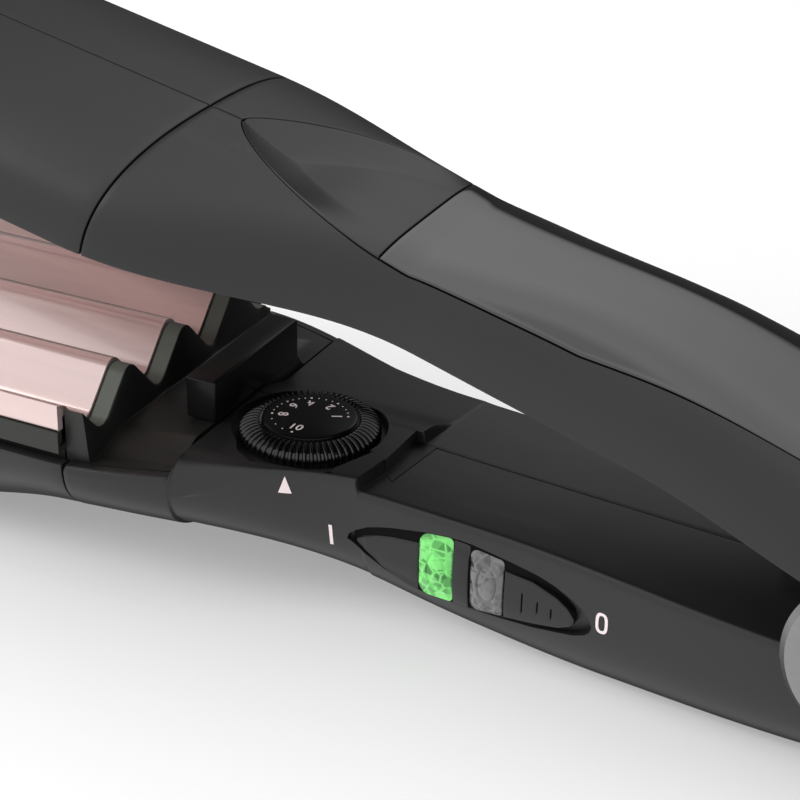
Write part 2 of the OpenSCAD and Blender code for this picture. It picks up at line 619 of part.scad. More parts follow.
// Swivel gland for the mains cord
gland_neck_r = 4.4;
module cord_gland() color("#1b1b1c") translate([rear_x, 0, gland_z]) rotate([0, 90, 0])
    rotate_extrude($fn = 96) polygon([
        [gland_bore_d / 2, -4.8], [5.2, -4.8], [5.2, -3.4], [gland_neck_r, -3.4],
        [gland_neck_r, 0.3], [5.8, 0.3], [5.8, gland_l * 0.35], [5, gland_l * 0.42],
        [5, gland_l * 0.5], [5.5, gland_l * 0.57], [4.7, gland_l - 0.8], [4.2, gland_l],
        [gland_bore_d / 2, gland_l]]);

// The upper arm is drawn closed and swung open about the pivot
module swing() {
    translate([pivot_x, 0, pivot_z]) rotate([0, open_angle, 0]) translate([-pivot_x, 0, -pivot_z])
        children();
}
// Half section of the upper handle from the rim round to the inlay's edge and back inside
function upper_ring(x) = let (
    w = half_w(x), rim = upper_rim(x), top = upper_top(x), n = upper_n(x),
    a = max(g, inlay_w(x) + (inlay_w(x) > 0 ? fit_gap : 0)),
    t1 = acos(min(1, pow(a / w, n / 2))), wi = w - wall, ti = top - wall,
    t2 = acos(min(1, pow(a / wi, n / 2)))
) concat(
    [for (j = [0:side_steps + 2]) let (t = t1 * j / (side_steps + 2))
        [-w * pow(cos(t), 2 / n), rim + (top - rim) * pow(sin(t), 2 / n)]],
    [for (j = [8:-1:0]) let (t = t2 * j / 8)
        [-wi * pow(cos(t), 2 / n), rim + (ti - rim) * pow(sin(t), 2 / n)]]
);
scoop_xs = [for (i = [1:9]) mix(scoop_x0 + 0.1, scoop_x1, pow(i / 9, 1.5))];
cover_tail_xs = concat([for (i = [1:10]) mix(scoop_x1, pivot_x, i / 10)],
    [for (i = [1:5]) mix(pivot_x, rear_x - 0.8, sin(90 * i / 5))]);
upper_xs = concat([seam_x + g, seam_x + 3, scoop_x0 + 0.1], scoop_xs, cover_tail_xs);
module upper_half() {
    difference() {
        union() {
            loft(upper_xs, [for (x = upper_xs) upper_ring(x)], 9);
            translate([pivot_x, -ear_y + 0.4, pivot_z]) rotate([90, 0, 0]) mirror([0, 0, 1])
                translate([0, 0, -0]) linear_extrude(3) {
                    circle(r = disc_d / 2 - 1.6);
                    translate([-8, 0]) square([16, upper_top(pivot_x) - 3.4 - pivot_z]);
                }
            for (p = upper_bosses) boss_front(p, upper_reach(p));
        }
        translate([pivot_x, 0, pivot_z]) rotate([90, 0, 0])
            cylinder(h = 40, r = pin_d / 2 + pin_clear);
        translate([pivot_x, -ear_y + 0.2, pivot_z]) rotate([90, 0, 0])
            cylinder(h = 20, r = disc_d / 2 + 0.2);
        for (p = upper_bosses) pilot(p);
    }
}
module upper_shell_front() color("#2d2d2f") swing() upper_half();
module upper_shell_back() color("#2d2d2f") swing() difference() {
    mirror([0, 1, 0]) upper_half();
    for (p = upper_bosses) screw_hole(p);
}

// Skins that close the opening between the two upper shells
module skin(xs, wide, top, thick, steps) {
    loft(xs, [for (i = [0:len(xs) - 1]) let (x = xs[i], a = wide[i]) concat(
        [for (j = [-steps:steps]) [a * j / steps, top[i][abs(j)]]],
        [for (j = [steps:-1:-steps]) [a * j / steps, top[i][abs(j)] - thick]])], 2 * steps + 1);
}
thumb_xs = concat([scoop_x0 + 0.35], [for (i = [0:7]) scoop_xs[i]], [scoop_x1 - fit_gap / 2]);
module thumb_rest() color("#2d2d2f") swing() {
    steps = 8;
    wide = [for (x = thumb_xs) max(0.3, inlay_w(x) - 0.02)];
    skin(thumb_xs, wide, [for (i = [0:len(thumb_xs) - 1]) [for (j = [0:steps])
        thumb_z(thumb_xs[i], wide[i] * j / steps)]], cover_t, steps);
}
cover_xs = concat([scoop_x1 + fit_gap / 2], cover_tail_xs);
module gloss_cover() color("#0c0c0d") swing() {
    steps = 6;
    wide = [for (x = cover_xs) inlay_w(x) - 0.02];
    skin(cover_xs, wide, [for (i = [0:len(cover_xs) - 1]) [for (j = [0:steps])
        cover_z(cover_xs[i], wide[i] * j / steps)]], cover_t, steps);
}

// Upper head cover halves
module upper_head_half() {
    difference() {
        union() {
            difference() {
                loft(head_xs, [for (x = head_xs) concat([[-g, upper_rim(x)]],
                    quarter(half_w(x), upper_rim(x), upper_top(x), upper_n(x), side_steps, g))]);
                loft(head_hollow_xs, [for (x = head_hollow_xs) concat(
                    [[1, 20], [wall - half_w(x), 20]],
                    quarter(half_w(x) - wall, upper_rim(x), upper_top(x) - wall, upper_n(x), 8,
                        -1))]);
            }
            for (p = upper_head_bosses) boss_front(p, upper_reach(p));
        }
        translate([plate_x0 - 0.5, -plate_w / 2 - 0.25, upper_rim_z - 1])
            cube([plate_l + 2, plate_w, 3]);
        for (p = upper_head_bosses) pilot(p);
    }
}
module upper_head_front() color("#2d2d2f") swing() upper_head_half();
module upper_head_back() color("#2d2d2f") swing() difference() {
    mirror([0, 1, 0]) upper_head_half();
    for (p = upper_head_bosses) screw_hole(p);
}

// Plate, frame and heater of the upper head
upper_half_w = head_w / 2 - wall - 0.8;
upper_plate_x0 = plate_x0 + 0.4;
upper_plate_l = plate_l - 0.9;
module upper_plate_frame() color("#1d1d1f") swing() {
    x0 = upper_plate_x0 + 3.4;
    len = upper_plate_l - 3.4;
    bar = 4;
    difference() {
        union() {
            translate([x0, -upper_half_w, upper_rim_z + 0.9]) cube([len, 2 * upper_half_w, 2.2]);
            for (x = [x0, x0 + len - bar]) translate([x, -21.4, upper_rim_z + 2.5])
                cube([bar, 42.8, 2.4]);
        }
        translate([x0 - 1, 1 - upper_half_w, upper_rim_z - 1]) cube([len + 2,
            2 * upper_half_w - 2, 3.3]);
        translate([x0 - 1, -20.2, upper_rim_z]) cube([len + 2, 40.4, 3.9]);
        translate([x0 + bar - 0.1, -20.3, upper_rim_z - 0.1]) cube([len - 2 * bar + 0.2, 40.6, 9]);
    }
}
module upper_plate() color("#e8c9c2") swing() translate([upper_plate_x0 + 0.1, 0, 0])
    wave_sheet(upper_half_w - 1.1, plate_gap, upper_plate_l - 0.2, plate_t * 1.25,
        upper_rim_z + 2.2);
module upper_heater() color("#c9c9c4") swing()
    translate([plate_x0 + 9, -20, upper_rim_z + 3.8]) cube([plate_l - 18, 40, 1.8]);
module upper_clamp() color("#a9acb0") swing()
    translate([plate_x0 + 14, -16, upper_rim_z + 5.6]) cube([plate_l - 32, 32, 1]);
module thermal_fuse() color("#c8b27a") swing()
    translate([seam_x - 60, 6, upper_rim_z + 8.1]) rotate([0, 90, 0]) cylinder(h = 12, r = 1.5);

// Cover on the inner side of the upper handle, recessed inside the rim
inner_xs = [seam_x + 2, seam_x + 9, seam_x + 16.6, seam_x + 17.6, seam_x + 30, seam_x + 45,
    waist_x, pivot_x - 45, pivot_x - 30, pivot_x - 20, pivot_x - 13];
inner_t = 1.4;
function inner_z(x) = upper_rim(x) + (x < seam_x + 17 ? 3 : 0.9);
module upper_inner_cover() color("#202022") swing()
    loft(inner_xs, [for (x = inner_xs) let (
        w = half_w(x) - wall - (x < seam_x + 17 ? 1.7 : 0.8), z = inner_z(x)
    ) [[-w, z], [w, z], [w, z + inner_t], [-w, z + inner_t]]]);
module upper_screws() color("#6d7074") swing()
    for (p = concat(upper_bosses, upper_head_bosses)) screw(p);

lower_shell_front();
lower_shell_back();
lower_head_front();
lower_head_back();
lower_plate_frame();
rear_end_block();
tip_end_block();
lower_plate();
lower_heater();
lower_clamp();
guard_bar();
dial_deck();
temperature_dial();
dial_disc();
potentiometer();
control_board();
slide_switch();
indicator_leds();
power_slider();
green_lens();
clear_lens();
lower_screws();
pivot_pin();
pivot_disc_front();
pivot_disc_back();
opening_spring();
cord_gland();
upper_shell_front();
upper_shell_back();
thumb_rest();
gloss_cover();
upper_head_front();
upper_head_back();
upper_plate_frame();
upper_plate();
upper_heater();
upper_clamp();
upper_inner_cover();
thermal_fuse();
upper_screws();
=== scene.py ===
import math

import bpy
import numpy as np
from mathutils import Matrix, Vector


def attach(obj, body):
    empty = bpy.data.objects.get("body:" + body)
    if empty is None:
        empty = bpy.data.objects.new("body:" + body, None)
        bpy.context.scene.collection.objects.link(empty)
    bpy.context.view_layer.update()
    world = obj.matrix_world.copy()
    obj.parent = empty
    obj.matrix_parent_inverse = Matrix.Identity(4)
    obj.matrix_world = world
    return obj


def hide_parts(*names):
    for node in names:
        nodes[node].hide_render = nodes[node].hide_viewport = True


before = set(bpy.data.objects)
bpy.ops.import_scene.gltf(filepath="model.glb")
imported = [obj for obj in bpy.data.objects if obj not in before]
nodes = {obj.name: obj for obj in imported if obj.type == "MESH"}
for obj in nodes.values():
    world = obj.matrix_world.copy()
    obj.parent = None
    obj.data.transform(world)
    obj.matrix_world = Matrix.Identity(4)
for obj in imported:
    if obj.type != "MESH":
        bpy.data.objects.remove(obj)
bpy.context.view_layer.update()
print("frame loaded:", len(nodes), "nodes")

mm = 0.001
arms = {
    "pivotX": 100.0, "pivotZ": 20.0, "openAngle": 12.5,   # hinge and pose, mm and degrees
    "seamX": -19.9, "tipX": -129.6, "rearX": 118.0,       # where heads and handles end
    "headW": 62.6, "waistW": 35.2, "bellyW": 43.0,        # widths along the arms
    "waist": (3.7, 46.3), "belly": (40, 92),              # where the widths change
    "noseL": 18.0, "tailL": 20.0, "seamGap": 0.3, "lip": 0.22, "wall": 2.0,
    # a rounded lip as parts of its radius: outwards and downwards
    "lipOut": np.array([[0.4, 0.1, 0.0]]), "lipDown": np.array([[0.12, 0.5, 1.0]]),
}
# short names for the measures that most pieces use; g is half of the gap at the seams
seam, tip, rear, pivot = arms["seamX"], arms["tipX"], arms["rearX"], (arms["pivotX"], arms["pivotZ"])
g, lip, wall = arms["seamGap"] / 2, arms["lip"], arms["wall"]
lipOut, lipDown = lip * arms["lipOut"], lip * arms["lipDown"]


# Half a cosine wave: 0 before a, 1 after b
def ease(x, a, b):
    t = np.clip((np.asarray(x, float) - a) / (b - a), 0, 1)
    return (1 - np.cos(np.pi * t)) / 2


# Straight blend from a to b
def mix(a, b, t):
    return a + (b - a) * t


# Squared circle: (1 - s^p)^(1/p)
def corner(s, p):
    return np.maximum(0, 1 - np.clip(s, 0, 1) ** p) ** (1 / p)


# Closing of the head over its last part
def nose(x, p):
    return corner((tip + arms["noseL"] - x) / (arms["noseL"] + 1), p)


# Closing of the handle behind the pivot
def tail(x, p):
    return corner((x - pivot[0]) / arms["tailL"], p)


# Head half width eased to the waist and out again to the belly, closed at both ends
def halfWidth(x):
    narrow, wide = arms["waist"]
    shrink = ease(x, seam - narrow, seam + wide)
    w = arms["headW"] / 2 - (arms["headW"] - arms["waistW"]) / 2 * shrink
    w = w + (arms["bellyW"] - arms["waistW"]) / 2 * ease(x, *arms["belly"])
    return w * nose(x, 2.4) * tail(x, 2.6)


# Points of a mesh, in metres
def pointsOf(mesh):
    co = np.zeros(len(mesh.vertices) * 3)
    mesh.vertices.foreach_get("co", co)
    return co.reshape(-1, 3)


# Mesh from an array of points in millimetres and a list of faces, turned outwards
def meshFrom(name, verts, faces, smoothAngle=35):
    verts = np.asarray(verts, float).reshape(-1, 3)
    mesh = bpy.data.meshes.new(name)
    mesh.from_pydata((verts * mm).tolist(), [], [list(map(int, f)) for f in faces])
    mesh.validate()
    mesh.update()
    mesh.calc_loop_triangles()
    tri = np.zeros(len(mesh.loop_triangles) * 3, np.int64)
    mesh.loop_triangles.foreach_get("vertices", tri)
    p = pointsOf(mesh)[tri.reshape(-1, 3)]
    if np.einsum("ij,ij->i", p[:, 0], np.cross(p[:, 1], p[:, 2])).sum() < 0:
        mesh.flip_normals()
    smoothBy(mesh, smoothAngle)
    piece = bpy.data.objects.new(name, mesh)
    bpy.context.scene.collection.objects.link(piece)
    return piece


def smoothBy(mesh, angle):
    mesh.polygons.foreach_set("use_smooth", np.ones(len(mesh.polygons), bool))
    mesh.set_sharp_from_angle(angle=math.radians(angle))


# Quads of a grid of rows times m points, for so many gaps each way; the last gap closes a ring
def quadsOf(rows, m, rowGaps, gaps):
    i, j = np.meshgrid(np.arange(rowGaps), np.arange(gaps), indexing="ij")
    k, q = (i + 1) % rows, (j + 1) % m
    return np.stack([i * m + j, k * m + j, k * m + q, i * m + q], -1).reshape(-1, 4).tolist()


# Closed skin through rings of shape (stations, points, 3), with flat ends
def loft(name, rings, smoothAngle=35):
    s, r, _ = rings.shape
    ends = [list(range(r)), list(range((s - 1) * r, s * r))[::-1]]
    return meshFrom(name, rings, quadsOf(s, r, s - 1, r) + ends, smoothAngle)


# Rings of points out of places along x and arrays of y and z
def sections(xc, y, z):
    return np.stack([xc + 0 * y, y, z], -1)


# Straight extrusion of an outline along z, or along y for an outline in x and z
def prism(name, outline, low, high, axis="z"):
    u, v = np.array(outline, float).T
    rings = []
    for h in (low, high):
        c = np.full(len(u), h)
        rings.append(np.column_stack([u, v, c] if axis == "z" else [u, c, v]))
    return loft(name, np.stack(rings), 30)


# Box between two opposite corners
def boxOf(name, one, other):
    (x0, y0, z0), (x1, y1, z1) = np.minimum(one, other), np.maximum(one, other)
    return prism(name, [(x0, y0), (x1, y0), (x1, y1), (x0, y1)], z0, z1)


# Straight round bar between two heights along one axis
def rod(name, centre, radius, low, high, axis="z", sides=96):
    a = np.linspace(0, 2 * np.pi, sides, endpoint=False)
    u, v = centre[0] + radius * np.cos(a), centre[1] + radius * np.sin(a)
    rings = []
    for h in (low, high):
        c = np.full(sides, float(h))
        rings.append(np.column_stack({"z": [u, v, c], "y": [u, c, v], "x": [c, u, v]}[axis]))
    return loft(name, np.stack(rings), 30)


# Closed profile of radius and height, turned about a vertical axis through centre
def turned(name, centre, profile, sides):
    radius, height = np.array(profile).T[:, None, :]
    a = np.linspace(0, 2 * np.pi, sides, endpoint=False)[:, None]
    x, y = centre[0] + radius * np.cos(a), centre[1] + radius * np.sin(a)
    m = len(profile)
    grid = np.stack([x, y, height + 0 * x], -1)
    return meshFrom(name, grid, quadsOf(sides, m, sides, m), 32)


# Cuts the cutters out of a piece, one after another, and throws them away
def carve(piece, cutters):
    for cutter in cutters:
        step = piece.modifiers.new("cut", "BOOLEAN")
        step.object = cutter
        step.operation = "DIFFERENCE"
        step.solver = "EXACT"
    bake(piece)
    for cutter in cutters:
        old = cutter.data
        bpy.data.objects.remove(cutter)
        bpy.data.meshes.remove(old)
    smoothBy(piece.data, 32)


# Puts the result of the modifiers into the mesh
def bake(piece):
    bpy.context.view_layer.update()
    seen = piece.evaluated_get(bpy.context.evaluated_depsgraph_get())
    mesh = bpy.data.meshes.new_from_object(seen)
    old = piece.data
    piece.modifiers.clear()
    piece.data = mesh
    bpy.data.meshes.remove(old)


# One mesh out of several pairs of points in millimetres and faces
def merged(name, pairs):
    faces, count = [], 0
    for points, own in pairs:
        faces += [[v + count for v in face] for face in own]
        count += len(points)
    return meshFrom(name, np.concatenate([points for points, _ in pairs]), faces)


# One piece out of several, which are thrown away
def joined(name, pieces):
    pairs = []
    for piece in pieces:
        pairs.append((pointsOf(piece.data) / mm, [list(p.vertices) for p in piece.data.polygons]))
        bpy.data.objects.remove(piece)
    return merged(name, pairs)


# Turns closed upper-arm points by the opening angle about the pivot
def swing(points):
    p = np.array(points, float)
    a = math.radians(arms["openAngle"])
    x, z = p[..., 0] - pivot[0], p[..., 2] - pivot[1]
    p[..., 0] = pivot[0] + x * math.cos(a) + z * math.sin(a)
    p[..., 2] = pivot[1] + z * math.cos(a) - x * math.sin(a)
    return p


# Moves a piece drawn on the closed upper arm to the open pose
def opened(piece):
    points = swing(pointsOf(piece.data) / mm) * mm
    piece.data.vertices.foreach_set("co", points.ravel())
    piece.data.update()
    return piece


# Even steps round a quarter of the curve b^n + a^n = 1, from a = first to b = 0
def squareArc(first, n, count):
    n = np.asarray(n, float).reshape(-1, 1)
    knee = 0.5 ** (1 / n)
    u = np.linspace(0, 1, count // 2 + 1)[None, :]
    aWall = mix(np.minimum(np.asarray(first, float).reshape(-1, 1), knee), knee, u)
    bFloor = knee * (1 - u[:, 1:])
    return np.hstack([corner(aWall, n), bFloor]), np.hstack([aWall, corner(bFloor, n)])


# Places that follow the rounded lip before an end
def lipSteps(high):
    return high - lip * np.array([0.6, 0.3, 0.1, 0.0])


# Places along an arm, closer together at the two ends, with a rounded lip there
def stations(low, high, count, extra=()):
    core = np.linspace(low + lip, high - lip, count)
    ends = [low, low + lip * 0.3, high - lip * 0.3, high]
    return np.unique(np.round(np.concatenate([core, ends, list(extra)]), 4))


# How much a section shrinks within a lip of its ends: a quarter circle
def lipInset(x, low, high):
    near = np.minimum(x - low, high - x)
    s = np.clip(1 - near / lip, 0, 1)
    return lip * (1 - np.sqrt(np.maximum(0, 1 - s ** 2)))


def newMaterial(name):
    mat = bpy.data.materials.new(name)
    mat.use_nodes = True
    return mat, mat.node_tree, mat.node_tree.nodes["Principled BSDF"]


def setInputs(node, values):
    for socket, value in dict(values).items():
        node.inputs[socket].default_value = value


def newNode(tree, kind, values=()):
    node = tree.nodes.new("ShaderNode" + kind)
    setInputs(node, values)
    return node


# Moulded-plastic grain: fine bump height, slow mottling, sparse handling marks, and paler convex edges that
# are partly edge wear and partly painted edge highlight
def grainGroup():
    group = bpy.data.node_groups.new("mouldedGrain", "ShaderNodeTree")
    group.interface.new_socket("Fine Scale", in_out="INPUT", socket_type="NodeSocketFloat")
    for name in ("Height", "Mottle", "Rub", "EdgeWearAndSheen"):
        group.interface.new_socket(name, in_out="OUTPUT", socket_type="NodeSocketFloat")
    link = group.links.new
    src = group.nodes.new("NodeGroupInput")
    out = group.nodes.new("NodeGroupOutput")
    place = newNode(group, "TexCoord")
    fine = newNode(group, "TexNoise", {"Detail": 2})
    slow = newNode(group, "TexNoise", {"Scale": 60, "Detail": 4})
    stretch = newNode(group, "Mapping", {"Scale": (1, 5, 5)})
    rub = newNode(group, "TexNoise", {"Scale": 45, "Detail": 6})
    keep = newNode(group, "MapRange", {"From Min": 0.55, "From Max": 0.75})
    shape = newNode(group, "NewGeometry")
    # convex edges found by pointiness, made paler: edge wear and painted edge highlight
    edge = newNode(group, "MapRange", {"From Min": 0.53, "From Max": 0.62})
    for node in (fine, slow, stretch):
        link(place.outputs["Object"], node.inputs["Vector"])
    link(stretch.outputs["Vector"], rub.inputs["Vector"])
    link(rub.outputs["Fac"], keep.inputs["Value"])
    link(shape.outputs["Pointiness"], edge.inputs["Value"])
    link(src.outputs["Fine Scale"], fine.inputs["Scale"])
    link(fine.outputs["Fac"], out.inputs["Height"])
    link(slow.outputs["Fac"], out.inputs["Mottle"])
    link(keep.outputs["Result"], out.inputs["Rub"])
    link(edge.outputs["Result"], out.inputs["EdgeWearAndSheen"])
    return group


grain = grainGroup()


def grainIn(tree, fineScale):
    node = newNode(tree, "Group")
    node.node_tree = grain
    node.inputs["Fine Scale"].default_value = fineScale
    return node.outputs


def mathOf(tree, operation, *values):
    node = newNode(tree, "Math")
    node.operation = operation
    for socket, value in zip(node.inputs, values):
        if isinstance(value, float):
            socket.default_value = value
        else:
            tree.links.new(value, socket)
    return node.outputs["Value"]


def blendColour(tree, factor, a, b):
    node = newNode(tree, "Mix")
    node.data_type = "RGBA"
    for socket, value in (("A", a), ("B", b)):
        if isinstance(value, tuple):
            node.inputs[socket].default_value = (*value, 1)
        else:
            tree.links.new(value, node.inputs[socket])
    tree.links.new(factor, node.inputs["Factor"])
    return node.outputs["Result"]


def spanOf(tree, factor, low, high):
    node = newNode(tree, "MapRange", {"To Min": low, "To Max": high})
    tree.links.new(factor, node.inputs["Value"])
    return node.outputs["Result"]


def reliefOn(tree, shader, height, strength, distance):
    node = newNode(tree, "Bump", {"Strength": strength, "Distance": distance})
    tree.links.new(height, node.inputs["Height"])
    tree.links.new(node.outputs["Normal"], shader.inputs["Normal"])


def times(colour, factor):
    return tuple(min(1, c * factor) for c in colour)


# A grey given as one number becomes a colour
def colourOf(value):
    return value if isinstance(value, tuple) else (value,) * 3


# Moulded plastic: two close colours by slow mottling, paler edges (edge wear and painted edge highlight),
# grain bump, uneven gloss
def plastic(name, dark, light, rough, fineScale=2600, bump=0.02, spread=0.08, coat=0.0, specular=0.5):
    mat, tree, shader = newMaterial(name)
    noise, dark, light = grainIn(tree, fineScale), colourOf(dark), colourOf(light)
    tone = blendColour(tree, noise["Mottle"], dark, light)
    wornAndSheenEdge = blendColour(tree, noise["EdgeWearAndSheen"], tone, times(light, 1.35))
    gloss = spanOf(tree, noise["Mottle"], rough - spread / 2, rough + spread / 2)
    gloss = mathOf(tree, "MULTIPLY_ADD", noise["Rub"], -spread * 0.6, gloss)
    tree.links.new(wornAndSheenEdge, shader.inputs["Base Color"])
    tree.links.new(gloss, shader.inputs["Roughness"])
    reliefOn(tree, shader, noise["Height"], bump * 10, 0.00004)
    setInputs(shader, {"Coat Weight": coat, "Specular IOR Level": specular})
    return mat


# Cut plastic lens: cells with painted bright glints along their edges inside, and its own glow when it is
# lit
def lensMaterial(name, deep, pale, glow):
    mat, tree, shader = newMaterial(name)
    link = tree.links.new
    place = newNode(tree, "TexCoord")
    cells = newNode(tree, "TexVoronoi", {"Scale": 620})
    facetEdges = newNode(tree, "TexVoronoi", {"Scale": 480})
    facetEdges.feature = "DISTANCE_TO_EDGE"
    for node in (cells, facetEdges):
        link(place.outputs["Object"], node.inputs["Vector"])
    # bright lines along the cell edges: painted glints of the lens facets
    glintLine = newNode(tree, "MapRange", {"From Max": 0.12, "To Min": 1.0, "To Max": 0.0})
    link(facetEdges.outputs["Distance"], glintLine.inputs["Value"])
    split = newNode(tree, "SeparateColor")
    link(cells.outputs["Color"], split.inputs["Color"])
    tone = blendColour(tree, split.outputs["Red"], deep, pale)
    colour = blendColour(tree, glintLine.outputs["Result"], tone, pale)
    link(colour, shader.inputs["Base Color"])
    link(colour, shader.inputs["Emission Color"])
    link(spanOf(tree, split.outputs["Green"], 0.05, 0.2), shader.inputs["Roughness"])
    setInputs(shader, {"Emission Strength": glow, "Coat Weight": 0.6})
    reliefOn(tree, shader, split.outputs["Blue"], 0.35, 0.0001)
    return mat


shellMat = plastic("satinShell", (0.0105, 0.0105, 0.011), (0.0135, 0.0135, 0.014), 0.4, specular=0.45)
heatMat = plastic("heatPlastic", (0.010, 0.0115, 0.010), (0.014, 0.0155, 0.0135), 0.4, bump=0.015,
                  specular=0.4)
# lighter copy of the end block's plastic for the band's upward faces: painted light where they face the sky
paintedLitBandMat = plastic("bandPaintedLightPlastic", (0.070, 0.078, 0.066), (0.085, 0.095, 0.080), 0.36, bump=0.015)
thumbMat = plastic("thumbPlastic", (0.0105, 0.0105, 0.0108), (0.0135, 0.0135, 0.0138), 0.27)
barMat = plastic("barPlastic", 0.004, 0.006, 0.26, bump=0.012, specular=0.2)
dialMat = plastic("dialPlastic", 0.004, 0.006, 0.22, bump=0.01, specular=0.55)
discMat = plastic("dialFace", 0.003, 0.004, 0.2, bump=0.006, specular=0.16)
sliderMat = plastic("sliderPlastic", (0.0085, 0.0085, 0.009), (0.011, 0.011, 0.0115), 0.33, specular=0.45)
# near-black, dull and barely shiny: painted shade in the switch recess
paintedShadeSkirtMat = plastic("sliderPaintedShadeSkirt", 0.0015, 0.0025, 0.6, specular=0.08)
glossMat = plastic("glossCover", 0.003, 0.004, 0.05, fineScale=400,
                   bump=0.0012, spread=0.02, coat=1.0)
glandMat = plastic("glandRubber", 0.012, 0.02, 0.62, bump=0.04)
printMat = plastic("palePrint", (0.66, 0.57, 0.58), (0.74, 0.64, 0.65), 0.5, bump=0.005)
boardMat = plastic("circuitBoard", (0.02, 0.16, 0.06), (0.04, 0.25, 0.10), 0.35)
ceramicMat = plastic("ceramicHeater", (0.6, 0.59, 0.56), (0.7, 0.69, 0.66), 0.6)
partMat = plastic("smallParts", (0.12, 0.13, 0.16), (0.18, 0.19, 0.22), 0.4)
greenMat = lensMaterial("litGreenLens", (0.004, 0.16, 0.006), (0.17, 0.68, 0.15), 0.33)
clearMat = lensMaterial("clearLens", (0.045, 0.045, 0.045), (0.17, 0.17, 0.17), 0.0)


# Metal or metal-like coat with stretched noise for its brushing and an uneven gloss
def metal(name, colour, rough, brush=(1, 1, 1), metallic=1.0, coat=0.0):
    mat, tree, shader = newMaterial(name)
    link = tree.links.new
    place = newNode(tree, "TexCoord")
    turn = newNode(tree, "Mapping", {"Scale": brush})
    noise = newNode(tree, "TexNoise", {"Scale": 900, "Detail": 3})
    link(place.outputs["Object"], turn.inputs["Vector"])
    link(turn.outputs["Vector"], noise.inputs["Vector"])
    fac = noise.outputs["Fac"]
    tone = blendColour(tree, fac, times(colour, 0.93), times(colour, 1.05))
    # paler convex edges: edge wear and painted edge highlight
    wornAndSheenEdge = blendColour(tree, grainIn(tree, 1500)["EdgeWearAndSheen"], tone, times(colour, 1.12))
    link(wornAndSheenEdge, shader.inputs["Base Color"])
    link(spanOf(tree, fac, rough - 0.04, rough + 0.06), shader.inputs["Roughness"])
    reliefOn(tree, shader, fac, 0.1, 0.00003)
    setInputs(shader, {"Metallic": metallic, "Coat Weight": coat})
    return mat


plateMat = metal("rosePlate", (0.70, 0.545, 0.525), 0.2, brush=(0.05, 1, 1), metallic=0.62, coat=0.8)
silverMat = metal("satinSilver", (0.25, 0.25, 0.255), 0.26)
steelMat = metal("plainSteel", (0.5, 0.5, 0.52), 0.35)
print("materials made")

view = {
    "place": (0.1457, -0.2562, 0.1770), "target": (0.01995, 0.0, 0.02879),
    "roll": 1.06, "lens": 96.75,
}


# Camera that looks from place to target, rolled about its own axis
def makeCamera():
    place, target = Vector(view["place"]), Vector(view["target"])
    back = (place - target).normalized()
    side = Vector((0, 0, 1)).cross(back).normalized()
    up = back.cross(side)
    roll = math.radians(view["roll"])
    right = side * math.cos(roll) + up * math.sin(roll)
    top = up * math.cos(roll) - side * math.sin(roll)
    data = bpy.data.cameras.new("camera")
    data.lens = view["lens"]
    data.sensor_width = 36
    data.clip_start = 0.01
    cam = bpy.data.objects.new("camera", data)
    turn = Matrix((right, top, back)).transposed().to_4x4()
    cam.matrix_world = Matrix.Translation(place) @ turn
    bpy.context.scene.collection.objects.link(cam)
    bpy.context.scene.camera = cam


def areaLight(name, place, target, size, power, inMirror=False):
    data = bpy.data.lights.new(name, "AREA")
    data.shape = "RECTANGLE"
    data.size, data.size_y = size
    data.energy = power
    lamp = bpy.data.objects.new(name, data)
    lamp.visible_glossy = inMirror
    aim = (Vector(target) - Vector(place)).to_track_quat("-Z", "Y")
    lamp.matrix_world = Matrix.Translation(place) @ aim.to_matrix().to_4x4()
    bpy.context.scene.collection.objects.link(lamp)


light = {
    # heights and brightness of what shiny surfaces see, from the horizon up
    "mirror": [(0.0, 0.05), (0.30, 0.06), (0.37, 0.52), (0.58, 0.92), (0.80, 1.1), (1.0, 1.5)],
    "farLeft": 0.09, "near": 1.15,                    # the far left, and low on the camera's side
    "wash": 0.47,                                     # even brightness that lights dull surfaces
    "floor": 0.62, "floorGlow": 0.30,
    # directions that find the far left (both of the first two) and the near side (the last)
    "sides": (("X", -0.30, -0.39), ("Y", 0.15, 0.5), ("Y", 0.3, 0.0)),
}


# Sky by height: a ramp with a dim far left and a bright near side for mirror-like rays, and an
# even wash for all the others; each brightness is halved, as the background's strength is 2
def makeWorld():
    def grey(level):
        return (level / 2,) * 3

    world = bpy.data.worlds.new("studio")
    bpy.context.scene.world = world
    world.use_nodes = True
    tree = world.node_tree
    link = tree.links.new
    shade = tree.nodes["Background"]
    place = newNode(tree, "TexCoord")
    split = newNode(tree, "SeparateXYZ")
    ramp = newNode(tree, "ValToRGB")
    rays = newNode(tree, "LightPath")
    link(place.outputs["Generated"], split.inputs["Vector"])
    link(split.outputs["Z"], ramp.inputs["Fac"])
    steps = ramp.color_ramp.elements
    while len(steps) < len(light["mirror"]):
        steps.new(0.5)
    for step, (height, level) in zip(steps, light["mirror"]):
        step.position = height
        step.color = (*grey(level), 1)
    masks = []
    for axis, start, end in light["sides"]:
        part = newNode(tree, "MapRange", {"From Min": start, "From Max": end})
        link(split.outputs[axis], part.inputs["Value"])
        masks.append(part.outputs["Result"])
    farLeft = mathOf(tree, "MULTIPLY", *masks[:2])
    mirror = blendColour(tree, masks[2], ramp.outputs["Color"], grey(light["near"]))
    mirror = blendColour(tree, farLeft, mirror, grey(light["farLeft"]))
    seen = blendColour(tree, rays.outputs["Is Glossy Ray"], grey(light["wash"]), mirror)
    link(seen, shade.inputs["Color"])
    shade.inputs["Strength"].default_value = 2.0


